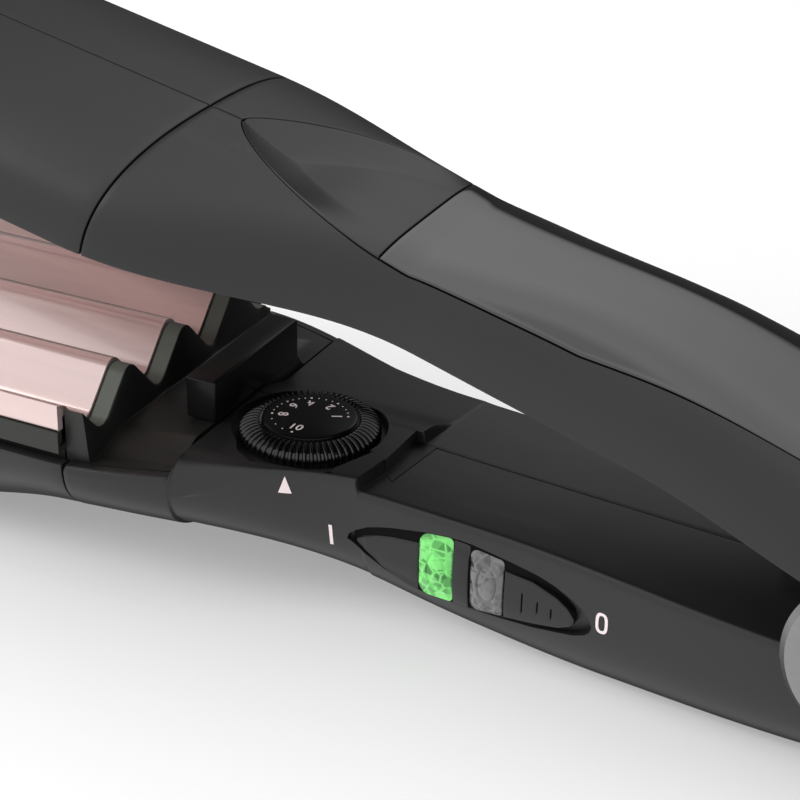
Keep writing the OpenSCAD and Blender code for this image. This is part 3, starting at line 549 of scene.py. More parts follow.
# Plain pale floor that glows a little, so that shadows on it stay soft
def makeFloor():
    r = 3000
    floor = meshFrom("floor", [(-r, -r, 0), (r, -r, 0), (r, r, 0), (-r, r, 0)], [(0, 1, 2, 3)])
    f = light["floor"]
    mat = plastic("paleFloor", f, f * 0.99, 0.8, bump=0.0, fineScale=50)
    setInputs(mat.node_tree.nodes["Principled BSDF"],
              {"Emission Color": (1, 1, 1, 1), "Emission Strength": light["floorGlow"]})
    floor.data.materials.append(mat)
    floor.visible_glossy = False


bpy.context.scene.view_settings.view_transform = "Standard"
makeCamera()
makeWorld()
makeFloor()
areaLight("softTop", (-0.12, 0.28, 0.75), (0, 0, 0.03), (0.8, 0.8), 3.6)
areaLight("leftFront", (-0.42, -0.33, 0.36), (-0.10, 0, 0.04), (0.3, 0.3), 2.6)
areaLight("plateGlow", (-0.41, -0.18, 0.76), (-0.10, 0, 0.03), (0.3, 0.3), 0.6, True)
print("camera, light and floor made")


def finishPiece(piece, mat, body, replaced=()):
    piece.data.materials.clear()
    piece.data.materials.append(mat)
    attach(piece, body)
    if replaced:
        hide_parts(*replaced)


lower = {
    "rimZ": 22.4, "rampZ": 22.2, "deckZ": 24.4, "rearZ": 22.4, "fall": 0.055,
    "stepX": 23.0, "stepSlant": 0.134, "rampEnd": -4.8, "neckRise": 9.6, "fillet": 1.1,
    "handleN": 4.6, "headN": 2.36, "sole": 0.35, "bigFillet": 5.2,
    "slopeY": (1.0, 9.5), "stepHalf": 0.35, "rampStep": (0.1, 0.5),   # how the deck's levels meet
    "neckUp": (66, 7.3), "neckDown": (8.3, 61),                       # where the underside rises
    "cord": (9.8, 4.45), "spring": (84.5, 4.2),                       # openings: place and radius
}


# Deck behind the step: falls evenly with x
def rearDeck(x):
    return lower["rearZ"] - lower["fall"] * (x - lower["stepX"])


# Deck height: plateau round the dial, lower behind the step and beside the ramp
def lowerDeckAt(x, y):
    half, (near, far) = lower["stepHalf"], lower["rampStep"]
    level = mix(lower["deckZ"], lower["rearZ"] + 0.05, ease(y, *lower["slopeY"]))
    z = mix(level, rearDeck(x), ease(x, lower["stepX"] - half, lower["stepX"] + half))
    return mix(lower["rampZ"], z, ease(x, lower["rampEnd"] + near, lower["rampEnd"] + far))


# Height of the underside's middle line: up into the neck and down again
def lowerBase(x):
    (start, rise), (fall, end) = lower["neckUp"], lower["neckDown"]
    share = ease(x, tip + start, seam + rise) - ease(x, seam + fall, end)
    return lower["neckRise"] * share - lower["sole"]


# Squareness of the lower arm: from the head's to the handle's
def lowerN(x):
    return mix(lower["headN"], lower["handleN"], ease(x, seam - 10, 40))


# Underside: the base line, drawn up to the top at the two ends
def lowerBottom(x, top):
    return top - (top - lowerBase(x)) * nose(x, 2) * tail(x, 4)


# Distance of the lower handle's wall from the middle at a height
def wallY(x, z):
    x, z = np.asarray(x, float), np.asarray(z, float)
    top = np.where(x < lower["stepX"], lower["deckZ"], rearDeck(x))
    return halfWidth(x) * corner((top - z) / (top - lowerBottom(x, top)), lowerN(x))


# Sections of the lower handle: deck, rounded edge, wall and sole, on one side
def lowerHandleRings(side):
    low, high, end = seam + g, rear, lower["rampEnd"]
    step = lower["stepX"] + np.linspace(-0.4, 0.4, 9)
    edge = end + np.linspace(0.05, 0.55, 6)
    x = stations(low, high, 190, np.concatenate([step, edge]))
    inset = lipInset(x, low, high)[:, None]
    w = halfWidth(x)[:, None] - inset
    xc = x[:, None]
    f = lower["fillet"] + 0 * xc
    if side < 0:
        f = mix(f, lower["bigFillet"], ease(xc, end, end + 0.6) * ease(-xc, -10, 4))
    flat = g + lip + (w - f - g - lip) * np.linspace(0, 1, 30)[None, :]
    zDeck = lowerDeckAt(xc, side * flat) - inset
    seamTop = lowerDeckAt(xc, side * g) - inset
    lipY = g + lipOut[:, ::-1] + 0 * xc
    lipZ = seamTop - lipDown[:, ::-1]
    edgeZ = zDeck[:, -1:]
    arc = np.linspace(0, np.pi / 2, 8)[None, 1:]
    arcY, arcZ = w - f + f * np.sin(arc), edgeZ - f + f * np.cos(arc)
    bottom = lowerBottom(xc, edgeZ) + inset
    b, a = squareArc(f / (edgeZ - bottom), lowerN(x), 56)
    wallZ = np.maximum(edgeZ + (bottom - edgeZ) * a, inset * 0.5)
    endY = g + lipOut + 0 * xc
    endZ = np.maximum(bottom, 0) + lipDown
    y = np.hstack([lipY, flat, arcY, np.maximum(w * b, g + lip)[:, 1:], endY])
    z = np.hstack([lipZ, zDeck, arcZ, wallZ[:, 1:], endZ])
    # the step runs aslant across the deck and the upper part of the wall
    near = np.clip(1 - np.abs(xc - lower["stepX"]) / 14, 0, 1)
    shear = (lower["stepSlant"] * (side * y + 17.3) - 1.1) * near * ease(z, 8, 22)
    return np.stack([xc + shear, side * y, z], -1)


dial = {
    "x": 8.0, "y": -6.2, "top": 26.0, "floor": 22.8, "recess": 11.85,
    "ribs": 60, "ribHeight": 0.36, "ribStart": (7.5, 8.1),
    # profiles in radius and height: the ring's outside, and the disc in its middle
    "ring": [(7.3, 25.4), (7.9, 25.5), (8.6, 25.42), (9.3, 25.2), (9.9, 24.85), (10.3, 24.4),
             (10.45, 23.9), (10.48, 23.4), (10.48, 23.1)],
    "disc": [(0.001, 25.3), (7.25, 25.3), (7.25, 25.75), (7.2, 25.9), (7.05, 25.98), (6.85, 26.0),
             (0.001, 26.0)],
    # numerals with their directions in degrees, their size and distance, and the dots' distance
    "marks": [("1", 25), ("2", 71), ("4", 116), ("6", 155), ("8", 200), ("10", 271)],
    "textSize": 2.25, "textR": 4.05, "dotR": 5.75, "dots": (0.19, 0.12),
}
# openings in the front shell's deck, in x and y: the sunk floor, then the two steps of a tongue
openings = {
    "floor": [(-1.2, -12.5), (2.0, -17.8), (5.6, -20.1), (17.6, -17.7), (17.4, -16.0), (20.3, -8.7)],
    "tongue": [(16, -8), (20, -8.75), (22.5, -10.2), (24.1, 0.3), (16, 0.3)],
    "behind": [(21.6, -9.5), (25.0, -12.5), (26.3, 0.3), (21.6, 0.3)],
}


# Inside of the lower handle, a wall's thickness in; open at the top under the head's end block
def lowerCavity(side):
    end = lower["rampEnd"]
    x = np.concatenate([[seam - 1, seam + 6, end - 0.1], np.linspace(end + 0.1, 22.4, 6),
                        np.linspace(23, 100, 12), [104, 108, 111.5, 114.9]])
    xc = x[:, None]
    w = halfWidth(xc) - wall
    isOpen = xc < end
    deck = np.where(xc < lower["stepX"], lower["deckZ"], rearDeck(xc))
    top = np.where(isOpen, 40.0, deck - wall)
    rim = np.where(isOpen, lower["rampZ"] - 2, top - 1.2)
    bottom = lowerBottom(xc, np.where(isOpen, lower["rampZ"], deck)) + lower["sole"] + wall
    b, a = squareArc(0 * xc, lowerN(x), 16)
    y = np.hstack([-1 + 0 * xc, np.where(isOpen, w, w - 1.2), w * b[:, :-1], 0 * xc - 1])
    z = np.hstack([top, top, rim + (bottom - rim) * a[:, :-1], bottom])
    return loft("cavity", sections(xc, side * y, z))


# room between the two ears of the hinge: lengths along x, and the floor's height
ear = {
    "inner": 17.9, "radius": 12.4, "out": 21.7, "floor": 12,
    "room": (91.5, 113.5), "slot": (86.8, 113.8), "slotDeep": 4,
}
slider = {
    "floor": 16.8, "travel": 2.5,
    "skirtFront": 16.87, "skirtBack": 16.82, "facesBack": 16.88, "lensBack": 16.9,
    # opposite corners: the hole behind the recess, then the button's tab and flange in it
    "hole": ((36.3, -17.8, 10.7), (45.4, -13.8, 15.3)),
    "tab": ((37.9, -16.9, 11.5), (39.8, -11.85, 14.5)),
    "flange": ((37.2, -15.15, 9.8), (42.0, -14.35, 16.2)),
    # outlines in x and z: the recess in the wall, then the tops and bottoms of the button's faces
    "recess": [(20.45, 14.3), (20.75, 15.2), (21.85, 16.05), (23.6, 16.95), (25.75, 17.55), (27.85, 18.0),
               (30.3, 18.35), (33, 18.75), (36, 18.95), (38.5, 19.0), (41.6, 18.7), (44.2, 18.15),
               (47.1, 17.65), (51.3, 16.85), (55.3, 15.45), (57.8, 13.9), (59.2, 12.3), (59.45, 11.3),
               (59.1, 10.3), (58.4, 9.65), (56.6, 8.9), (54, 8.42), (50, 7.8), (45, 7.55), (40, 7.5),
               (36, 7.6), (33, 7.87), (30, 8.6), (26, 10.36), (22.7, 12.62), (21.4, 13.72)],
    "top": [(21.6, 14.3), (22.8, 14.95), (25.1, 15.6), (27.4, 16.0), (29.6, 16.15), (33, 16.3),
            (45.6, 15.55), (49.8, 15.15), (53.6, 13.9), (55.6, 12.7), (56.6, 11.5)],
    "low": [(21.6, 13.8), (22.8, 12.7), (26, 10.5), (30, 8.75), (33, 8.0), (40, 7.65), (45.6, 7.8),
            (50, 8.3), (54, 9.05), (56, 10.0), (56.6, 10.7)],
    "grooves": [(48.3, 9.4, 13.2), (50.75, 10.2, 12.6), (52.95, 10.0, 12.2)],
    # lengths along x, and the roundings of a lens at its two ends
    "wings": ((21.6, 31.75), (45.3, 56.6)), "skirt": (21.2, 56.3),
    "green": (31.85, 37.2), "bar": (37.32, 39.85), "clear": (39.97, 45.2), "corners": (1.5, 0.6),
}


# Straight lines between points
def along(points, x):
    p = np.array(points)
    return np.interp(x, p[:, 0], p[:, 1])


# Highest place that the lens block can have and still clear the recess over the whole travel
def blockRise(x):
    top = slider["recess"][:18]
    return np.min([along(top, x + s) for s in np.linspace(0, slider["travel"], 6)], axis=0) - 0.5


# Two boxes that clear the room between the ears
def earCutters(side):
    inner, floor = side * ear["inner"], ear["floor"]
    (x0, x1), (x2, x3) = ear["room"], ear["slot"]
    room = boxOf("c", (x0, -side, floor), (x1, inner, floor + 20))
    slot = boxOf("c", (x2, inner - side * ear["slotDeep"], floor + 0.1), (x3, inner, floor + 20.1))
    return [room, slot]


def makeLowerHandle(side):
    piece = loft("lowerHandleFront" if side < 0 else "lowerHandleBack", lowerHandleRings(side))
    (cordZ, cordR), (springX, springR) = lower["cord"], lower["spring"]
    cutters = [
        lowerCavity(side), *earCutters(side),
        rod("c", (0, cordZ), cordR, 108, 125, "x"), rod("c", (springX, 0), springR, 10, 30),
        rod("c", (dial["x"], dial["y"]), dial["recess"], 19.5, 32, sides=160)]
    if side < 0:
        cutters += [
            prism("c", openings["floor"], dial["floor"], 33), prism("c", openings["tongue"], 19.9, 30),
            prism("c", openings["behind"], 19.8, 30.1),
            prism("c", slider["recess"], -40, -slider["floor"], "y"), boxOf("c", *slider["hole"])]
    carve(piece, cutters)
    hub = rod("hub", pivot, ear["radius"], side * (ear["inner"] + 0.1), side * ear["out"], "y", 160)
    return joined(piece.name, [piece, hub])


print("lower handle")
for side, node in ((-1, "lower_shell_front"), (1, "lower_shell_back")):
    finishPiece(makeLowerHandle(side), shellMat, "lower_arm", [node])


# Sections of a head cover: outer curve, rim and the hollow that closes towards the tip
def headRings(side, isUpper):
    low, high, bend = tip, seam - g, arms["noseL"]
    u = np.linspace(0, 1, 30)
    x = np.concatenate([low + bend * (1 - np.cos(u * np.pi / 2)), np.linspace(low + bend, high - lip, 60)])
    x = np.unique(np.concatenate([x, lipSteps(high)]))
    xc = x[:, None]
    inset = lipInset(x, low - 5, high)[:, None]
    w = halfWidth(xc) - inset
    if isUpper:
        sign, sole, rim, deep, n = 1, 0, upperRim(xc), upperTop(xc), upperN(xc)
    else:
        sign, sole, rim, n = -1, lower["sole"], lower["rimZ"] + 0 * xc, lowerN(xc)
        deep = lowerBottom(xc, rim)
    b, a = squareArc(0 * xc + 0.02, n, 64)
    oy, oz = np.maximum(w * b, g + lip), rim + (deep - sign * inset - rim) * a
    if not isUpper:
        oz = np.maximum(oz, inset * 0.5)
    hollow = ease(x, low + 2.4, low + 6)[:, None]
    iy = np.maximum(np.maximum(w - wall, 0.5) * b, g)
    iz = rim + (deep - rim - sign * wall - sign * sole) * hollow * a
    lipY = g + lipOut + 0 * xc
    lipZ = oz[:, -1:] - sign * lipDown
    rimY, rimZ = rimBevel(w, rim, sign)
    y = np.hstack([rimY, oy, lipY, iy[:, ::-1]])
    z = np.hstack([rimZ, oz, lipZ, iz[:, ::-1]])
    return sections(xc, side * y, z)


# Small bevel on the outer edge of a rim; sign is the direction in which the wall goes on
def rimBevel(w, rim, sign):
    return np.hstack([w - 0.25, w - 0.03]), np.hstack([rim, rim + sign * 0.1])


upper = {
    "rimZ": 31.3, "topZ": 44.3, "headN": 2.5, "handleN": 3.65,
    "inlayW": 15.4, "scoopX": -14.4, "scoopL": 31.7, "scoopDepth": 2.8, "skin": 1.6,
    "taper": 1.6, "rise": 0.9, "panWall": 9.0, "panEnd": 5.5, "panBend": 9.0,
    "end": rear - 0.8,
    # rounded plate inside the hinge's ears, and its web: radii, faces in y, half length and top
    "earR": 13.0, "plateR": 11.2, "plateY": (14.6, 17.6), "webHalf": 8, "webTop": 34.3,
}


# Lower edge of the upper arm: level, then two eased falls towards the pivot
def upperRim(x):
    return upper["rimZ"] - 2.1 * ease(x, seam + 30, 55) - 5 * ease(x, 60, 108)


# Middle line of the upper arm: level, then two eased falls
def upperCrown(x):
    return upper["topZ"] - 0.9 * ease(x, seam - 2, 57) - 5.5 * ease(x, 50, 100)


# Squareness of the upper arm: from the head's to the handle's
def upperN(x):
    return mix(upper["headN"], upper["handleN"], ease(x, seam - 5, seam + 55))


# Top of a section: the crown, drawn down to the rim at the two ends
def upperTop(x):
    return upperRim(x) + (upperCrown(x) - upperRim(x)) * nose(x, 2) * tail(x, 2.3)


# Height of the upper arm's outer skin above a point
def upperZ(x, y):
    share = corner(np.abs(y) / np.maximum(halfWidth(x), 0.01), upperN(x))
    return upperRim(x) + (upperTop(x) - upperRim(x)) * share


# Half width of the inlay: a rounded point that opens into the gloss cover
def inlayHalf(x):
    t = np.clip((x - upper["scoopX"]) / upper["scoopL"], 0, 1)
    full = upper["inlayW"] * np.sin(t * np.pi / 2) ** 0.7
    cover = upper["inlayW"] - upper["taper"] * ease(x, 45, 95)
    cover = np.minimum(cover, halfWidth(x) - wall - 0.45)
    return np.where(x < upper["scoopX"], 0, np.where(t < 1, full, cover))


# The inlay's own surface: level with its edges at the head end, then a growing crown
def inlayCrown(x, y):
    a, x0 = np.maximum(inlayHalf(x), 0.1), upper["scoopX"]
    rise = upper["rise"] * ease(x, x0 + 9, x0 + upper["scoopL"])
    return upperZ(x, a) + rise * (1 - np.clip(np.abs(y) / a, 0, 1) ** 4)


# Pan of the thumb rest: distance to the edge over the bank's length gives the share of the depth
def thumbZ(x, y):
    x0, length = upper["scoopX"], upper["scoopL"]
    slope = (inlayHalf(x + 0.2) - inlayHalf(x)) / 0.2
    gap = (inlayHalf(x) - np.abs(y)) / np.sqrt(1 + slope ** 2)
    bank = mix(upper["panWall"], upper["panEnd"], (x - x0) / length)
    share = (x0 + length - x) / (length - upper["panBend"])
    depth = upper["scoopDepth"] * (1 - np.log1p(np.exp(12 * (1 - share))) / 12)
    return inlayCrown(x, y) - depth * (1 - np.clip(1 - gap / bank, 0, 1) ** 1.3)


# Gloss cover: the inlay's crown blended into the arm's own skin
def coverZ(x, y):
    x1 = upper["scoopX"] + upper["scoopL"]
    return mix(inlayCrown(x, y), upperZ(x, y), ease(x, x1, x1 + 32))


print("heads")
for side, tag in ((-1, "Front"), (1, "Back")):
    piece = loft("lowerHead" + tag, headRings(side, False))
    finishPiece(piece, shellMat, "lower_arm", ["lower_head_" + tag.lower()])
    piece = opened(loft("upperHead" + tag, headRings(side, True)))
    finishPiece(piece, shellMat, "upper_arm", ["upper_head_" + tag.lower()])


# Sections of the upper handle: rim, outer curve up to the inlay, and the inside
def upperHandleRings(side):
    low, high, x0 = seam + g, upper["end"], upper["scoopX"]
    x = stations(low, high, 170, np.concatenate([x0 + 0.02 + 8 * np.linspace(0, 1, 24) ** 2, [x0 - 0.1]]))
    xc = x[:, None]
    inset = lipInset(x, low, high + 5)[:, None]
    w = halfWidth(xc) - inset
    rim, top, n = upperRim(xc), upperTop(xc) - inset, upperN(xc)
    edge = np.maximum(g, inlayHalf(xc) + np.where(inlayHalf(xc) > 0, 0.15, 0))
    # the curve b^n + a^n = 1, even in a on the wall and even in b on the top
    first, knee = 0.02, 0.5 ** (1 / n)
    bEnd = np.minimum((edge + lip) / w, 0.98)
    s = np.linspace(0, 1, 70)[None, :]
    aWall = mix(first, np.minimum(knee, corner(bEnd, n)), np.clip(s * 2, 0, 1))
    bTop = mix(np.maximum(knee, bEnd), bEnd, np.clip(s * 2 - 1, 0, 1))
    oy = w * np.where(s <= 0.5, corner(aWall, n), bTop)
    oz = rim + (top - rim) * np.where(s <= 0.5, aWall, corner(bTop, n))
    lipY = edge + lipOut
    lipZ = oz[:, -1:] - lipDown
    wi = w - wall
    ai = mix(first, corner(np.minimum(edge / wi, 0.97), n), np.linspace(1, 0, 16)[None, :])
    iy, iz = wi * corner(ai, n), rim + (top - wall - rim) * ai
    rimY, rimZ = rimBevel(w, rim, 1)
    return sections(xc, side * np.hstack([rimY, oy, lipY, iy]), np.hstack([rimZ, oz, lipZ, iz]))


def makeUpperHandle(side):
    piece = loft("upperHandleFront" if side < 0 else "upperHandleBack", upperHandleRings(side))
    lo, hi = sorted((side * (ear["inner"] - 0.1), side * 40))
    carve(piece, [rod("c", pivot, upper["earR"], lo, hi, "y", 160)])
    y0, y1 = [side * y for y in upper["plateY"]]
    inner = rod("inner", pivot, upper["plateR"], y0, y1, "y", 120)
    half = upper["webHalf"]
    web = boxOf("web", (pivot[0] - half, y0, pivot[1]), (pivot[0] + half, y1, upper["webTop"]))
    return opened(joined(piece.name, [piece, inner, web]))


print("upper handle")
for side, node in ((-1, "upper_shell_front"), (1, "upper_shell_back")):
    finishPiece(makeUpperHandle(side), shellMat, "upper_arm", [node])


# Thin skin across the arm: top surface with rounded edges and a flat inside
def skinRings(x, height, inset):
    xc = x[:, None]
    w = np.maximum(inlayHalf(xc) - 0.02 - lip, 0.02)
    y = w * np.linspace(-1, 1, 60)[None, :]
    z = height(xc, y) - inset[:, None]
    edgeY = w + lip * np.array([[0.6, 0.9, 1.0]])
    under = (w + lip) * np.linspace(1, -1, 12)[None, :]
    underZ = height(xc, np.clip(under, -w, w)) - upper["skin"]
    return sections(xc, np.hstack([-edgeY[:, ::-1], y, edgeY, under]),
                    np.hstack([(z[:, :1] - lipDown)[:, ::-1], z, z[:, -1:] - lipDown, underZ]))


def makeInlay():
    x0, x1, gap = upper["scoopX"], upper["scoopX"] + upper["scoopL"], 0.08
    low, high = x0 + 0.35, x1 - gap
    x = np.concatenate([low + 9 * np.linspace(0, 1, 40) ** 2, np.linspace(low + 9, high - lip, 50)])
    x = np.unique(np.concatenate([x, lipSteps(high)]))
    piece = loft("thumbRest", skinRings(x, thumbZ, lipInset(x, low - 5, high)))
    finishPiece(opened(piece), thumbMat, "upper_arm", ["thumb_rest"])
    low, high = x1 + gap, upper["end"]
    x = stations(low, high, 150)
    piece = loft("glossCoverSkin", skinRings(x, coverZ, lipInset(x, low, high + 5)))
    finishPiece(opened(piece), glossMat, "upper_arm", ["gloss_cover"])


makeInlay()
print("thumb rest and gloss cover")

plates = {
    "x0": -115.7, "x1": -20.7, "halfW": 30.3, "pitch": 15.63, "height": 6.5, "z": 26.5, "thick": 1.2,
    "round": 0.24, "edgeDrop": 1.2, "edgeL": 2.4,
    "seat": (0.1, 1.1, 24.2),                         # strips under its edges: from, to and bottom
}


# Straight flanks with rounded crests and troughs, one crest on the centre line
def wave(y):
    e, turns = plates["round"], np.abs(y) / plates["pitch"]
    u = 2 * np.abs(turns - np.floor(turns) - 0.5)
    flank = np.where(u > 1 - e, 1 - e - (1 - u) ** 2 / (2 * e), u - e / 2)
    rise = np.where(u < e, u * u / (2 * e), flank)
    drop = ease(np.abs(y), plates["halfW"] - plates["edgeL"], plates["halfW"])
    return plates["z"] + plates["height"] * rise / (1 - e) - plates["edgeDrop"] * drop


# Waved sheet with its sides turned down, extruded along the head, on two strips
def makeLowerPlate():
    h, t, x0, x1 = plates["halfW"], plates["thick"], plates["x0"], plates["x1"]
    low = plates["z"] + 1.0
    y = np.linspace(-h + 0.25, h - 0.25, 300)
    yi = np.linspace(h - t, -h + t, 160)
    lipY, lipZ = np.array([0.02, 0.07, 0.14]), np.array([0.28, 0.14, 0.05])
    left = np.column_stack([-h + lipY, wave(-h) - lipZ])
    right = np.column_stack([h - lipY, wave(h) - lipZ])[::-1]
    top, inside = np.column_stack([y, wave(y)]), np.column_stack([yi, wave(yi) - t * 1.25])
    outline = np.vstack([[(-h, low)], left, top, right, [(h, low), (h - t, low)], inside, [(-h + t, low)]])
    rings = []
    for x, drop in ((x0, 0), (x1 - 0.15, 0), (x1 - 0.04, 0.03), (x1, 0.15)):
        rings.append(np.column_stack([np.full(len(outline), x), outline[:, 0], outline[:, 1] - drop]))
    piece = loft("lowerWavePlate", np.stack(rings), 40)
    finishPiece(piece, plateMat, "lower_arm", ["lower_plate"])
    near, far, bottom = plates["seat"]
    seats = [boxOf("seat", (x0 + 0.3, k * (h - far), bottom), (x1 - 0.2, k * (h - near), low + 0.3))
             for k in (-1, 1)]
    finishPiece(joined("plateSeats", seats), heatMat, "lower_arm")


block = {
    "bandEnd": -17.7, "fallEnd": -16.7, "drop": 0.5, "floor": 19.4,
    "bandY": 23.4, "bandFall": (24.5, 28), "dish": 0.5, "dishL": 11.5, "dishY": 24,
    "farY": (12.9, 15.5), "sideY": 17,
}


# End block: a band with the plate's wave, a steep fall, then the flat ramp to the deck
def blockTop(x, y, w):
    start, depth = block["fallEnd"], np.abs(y)
    edge = plates["z"] - 0.5 - 3 * ease(y, *block["bandFall"])
    band = np.where(y > block["bandY"], edge, wave(y) - block["drop"])
    far = ease(y, *block["farY"]) * ease(x, start + 1, lower["rampEnd"] - 3)
    ramp = mix(lower["deckZ"] + 0.1, lower["rampZ"], np.maximum(ease(depth, block["sideY"], w - 2), far))
    dish = block["dish"] * np.sin(np.pi * np.clip((x - start) / block["dishL"], 0, 1))
    dish = dish * ease(block["dishY"] - depth, 0, 8)
    return mix(band, ramp - dish, ease(x, block["bandEnd"], start))


def makeEndBlock():
    low, high = plates["x1"] + 0.2, lower["rampEnd"] - 0.15
    a, b = block["bandEnd"], block["fallEnd"]
    x = np.unique(np.concatenate([np.linspace(low, high, 60), [low + 0.08, low + 0.2], np.linspace(a, b, 14),
                                  [a - 0.15, a - 0.05, b + 0.05, b + 0.15]]))
    xc = x[:, None]
    w = halfWidth(xc) - wall - 0.4
    y = w * np.linspace(-1, 1, 260)[None, :]
    z = blockTop(xc, y, w) - 0.12 * (1 - ease(xc, low, low + 0.2))
    floorZ = 0 * xc + block["floor"]
    rings = sections(xc, np.hstack([-w, y, w]), np.hstack([floorZ, z, floorZ]))
    piece = loft("rearEndBlock", rings, 50)
    finishPiece(piece, heatMat, "lower_arm", ["rear_end_block"])
    # upward faces of the band take the lighter copy: painted light on the faces that face the sky
    piece.data.materials.append(paintedLitBandMat)
    for face in piece.data.polygons:
        if face.center.x / mm < a - 0.05 and face.normal.z > 0.2:
            face.material_index = 1


makeLowerPlate()
makeEndBlock()
print("plates and end block")

guard = {"x": (-9.7, -4.5), "half": 12.75, "base": 24.5, "top": 31.35, "round": 0.45}


# Bar with softly rounded edges
def makeGuardBar():
    (x0, x1), h, r = guard["x"], guard["half"], guard["round"]
    piece = boxOf("guardBar", (x0, -h, guard["base"]), (x1, h, guard["top"]))
    soft = piece.modifiers.new("soft", "BEVEL")
    soft.width = r * mm
    soft.segments = 4
    bake(piece)
    smoothBy(piece.data, 40)
    finishPiece(piece, barMat, "lower_arm", ["guard_bar"])


makeGuardBar()


# Quarter-circle fall of a face within r of its edge, d being the distance to the edge
def roundOff(d, r):
    t = np.clip(1 - d / r, 0, 1)
    return r * (1 - np.sqrt(1 - t ** 2))


# Solid with a shaped front: sections along x, each from low to high, the back at a flat plane
def pad(name, x, low, high, front, back, steps=44):
    xc = x[:, None]
    z = mix(low(xc), high(xc), ease(np.linspace(0, 1, steps)[None, :], 0, 1))
    y = np.maximum(front(xc, z), back + 0.04)
    yy = np.hstack([y, back + 0 * xc, back + 0 * xc])
    return loft(name, sections(xc, -yy, np.hstack([z, high(xc), low(xc)])), 40)


# End face of the button: the wall, leaning in, with grooves and rounded edges
def sliderFace(x, z, x0, x1):
    low, high = along(slider["low"], x), along(slider["top"], x)
    y = wallY(x, z) - 0.05 - 0.5 * ease(z, 9, 16.5)
    for gx, gl, gh in slider["grooves"]:
        y = y - 0.3 * np.exp(-((x - gx) / 0.11) ** 2) * ease(z, gl, gl + 0.5) * (1 - ease(z, gh - 0.5, gh))
    edge = np.minimum(np.minimum(high - z, z - low), np.minimum(x - x0, x1 - x))
    return y - roundOff(edge, 0.35)


# Lens block: proud of the wall, with a chamfer and a top that rolls in
def blockFace(x, z, x0, x1, proud, chamfer):
    low, high = along(slider["low"], x) + 0.1, blockRise(x)
    y = wallY(x, np.minimum(z, 15)) + proud - 0.5 * ease(z, 9, 20)
    edge = np.minimum(z - low, np.minimum(x - x0, x1 - x))
    y = y - chamfer * np.clip(1 - edge / 0.9, 0, 1)
    return y - 1.3 * np.clip(1 - (high - z) / 2.0, 0, 1) ** 1.4 - roundOff(edge, 0.2)


# Lens: sloping rim facets, a shallow ring and a raised oval in the middle
def lensFace(x, z, x0, x1):
    y = blockFace(x, z, x0, x1, 0.32, 0.45)
    u = np.hypot((x - (x0 + x1) / 2 - 0.2) / 1.35, (z - 12.7) / 2.6)
    y = y + 0.28 * np.clip(1 - u ** 2, 0, 1) - 0.22 * np.exp(-((u - 1.08) / 0.1) ** 2)
    facet = np.abs(((x * 0.8 + z * 0.45) / 1.7) % 1 - 0.5) * 0.24
    return y - facet * np.clip(u - 1.1, 0, 0.6) / 0.6


# Even places with closer ones at the two ends
def evenSteps(x0, x1, step, extra=()):
    core = np.linspace(x0, x1, int((x1 - x0) / step) + 2)
    ends = np.array([0.03, 0.08, 0.15, 0.25])
    return np.unique(np.round(np.concatenate([core, x0 + ends, x1 - ends, list(extra)]), 4))


def bottomOf(x):
    return along(slider["low"], x)


def topOf(x):
    return along(slider["top"], x)


def makeSlider():
    parts = []
    groove = np.concatenate([x + np.linspace(-0.3, 0.3, 13) for x, _, _ in slider["grooves"]])
    for (x0, x1), extra in zip(slider["wings"], ((), groove)):
        parts.append(pad("face", evenSteps(x0, x1, 0.3, extra), bottomOf, topOf,
                         lambda q, z: sliderFace(q, z, x0, x1), slider["facesBack"]))
    x0, x1 = slider["bar"]
    parts.append(pad("bar", evenSteps(x0, x1, 0.15), lambda q: bottomOf(q) + 0.1, blockRise,
                     lambda q, z: blockFace(q, z, x0, x1, 0.28, 0.05), slider["facesBack"]))
    parts += [boxOf("tab", *slider["tab"]), boxOf("flange", *slider["flange"])]
    finishPiece(joined("sliderFaces", parts), sliderMat, "switch_button", ["power_slider"])
    # thin skirt under the faces that keeps the recess covered over the travel; its near-black finish is
    # painted shade in the recess
    skirt = pad("sliderPaintedShadeSkirt", evenSteps(*slider["skirt"], 0.4), lambda q: bottomOf(q) + 0.05,
                lambda q: np.maximum(blockRise(q) + 0.25, topOf(q) + 0.05),
                lambda q, z: slider["skirtFront"] + 0 * z, slider["skirtBack"], 8)
    finishPiece(skirt, paintedShadeSkirtMat, "switch_button")
    for name, mat in (("green", greenMat), ("clear", clearMat)):
        x0, x1 = slider[name]
        rounded = lambda q: sum(roundOff(d, r) for d, r in zip((q - x0, x1 - q), slider["corners"]))
        lens = pad(name + "Lens", evenSteps(x0, x1, 0.07), lambda q: bottomOf(q) + 0.1 + rounded(q),
                   lambda q: blockRise(q) - rounded(q), lambda q, z: lensFace(q, z, x0, x1),
                   slider["lensBack"], 120)
        finishPiece(lens, mat, "switch_button", [name + "_lens"])


makeSlider()
print("slider and lenses")


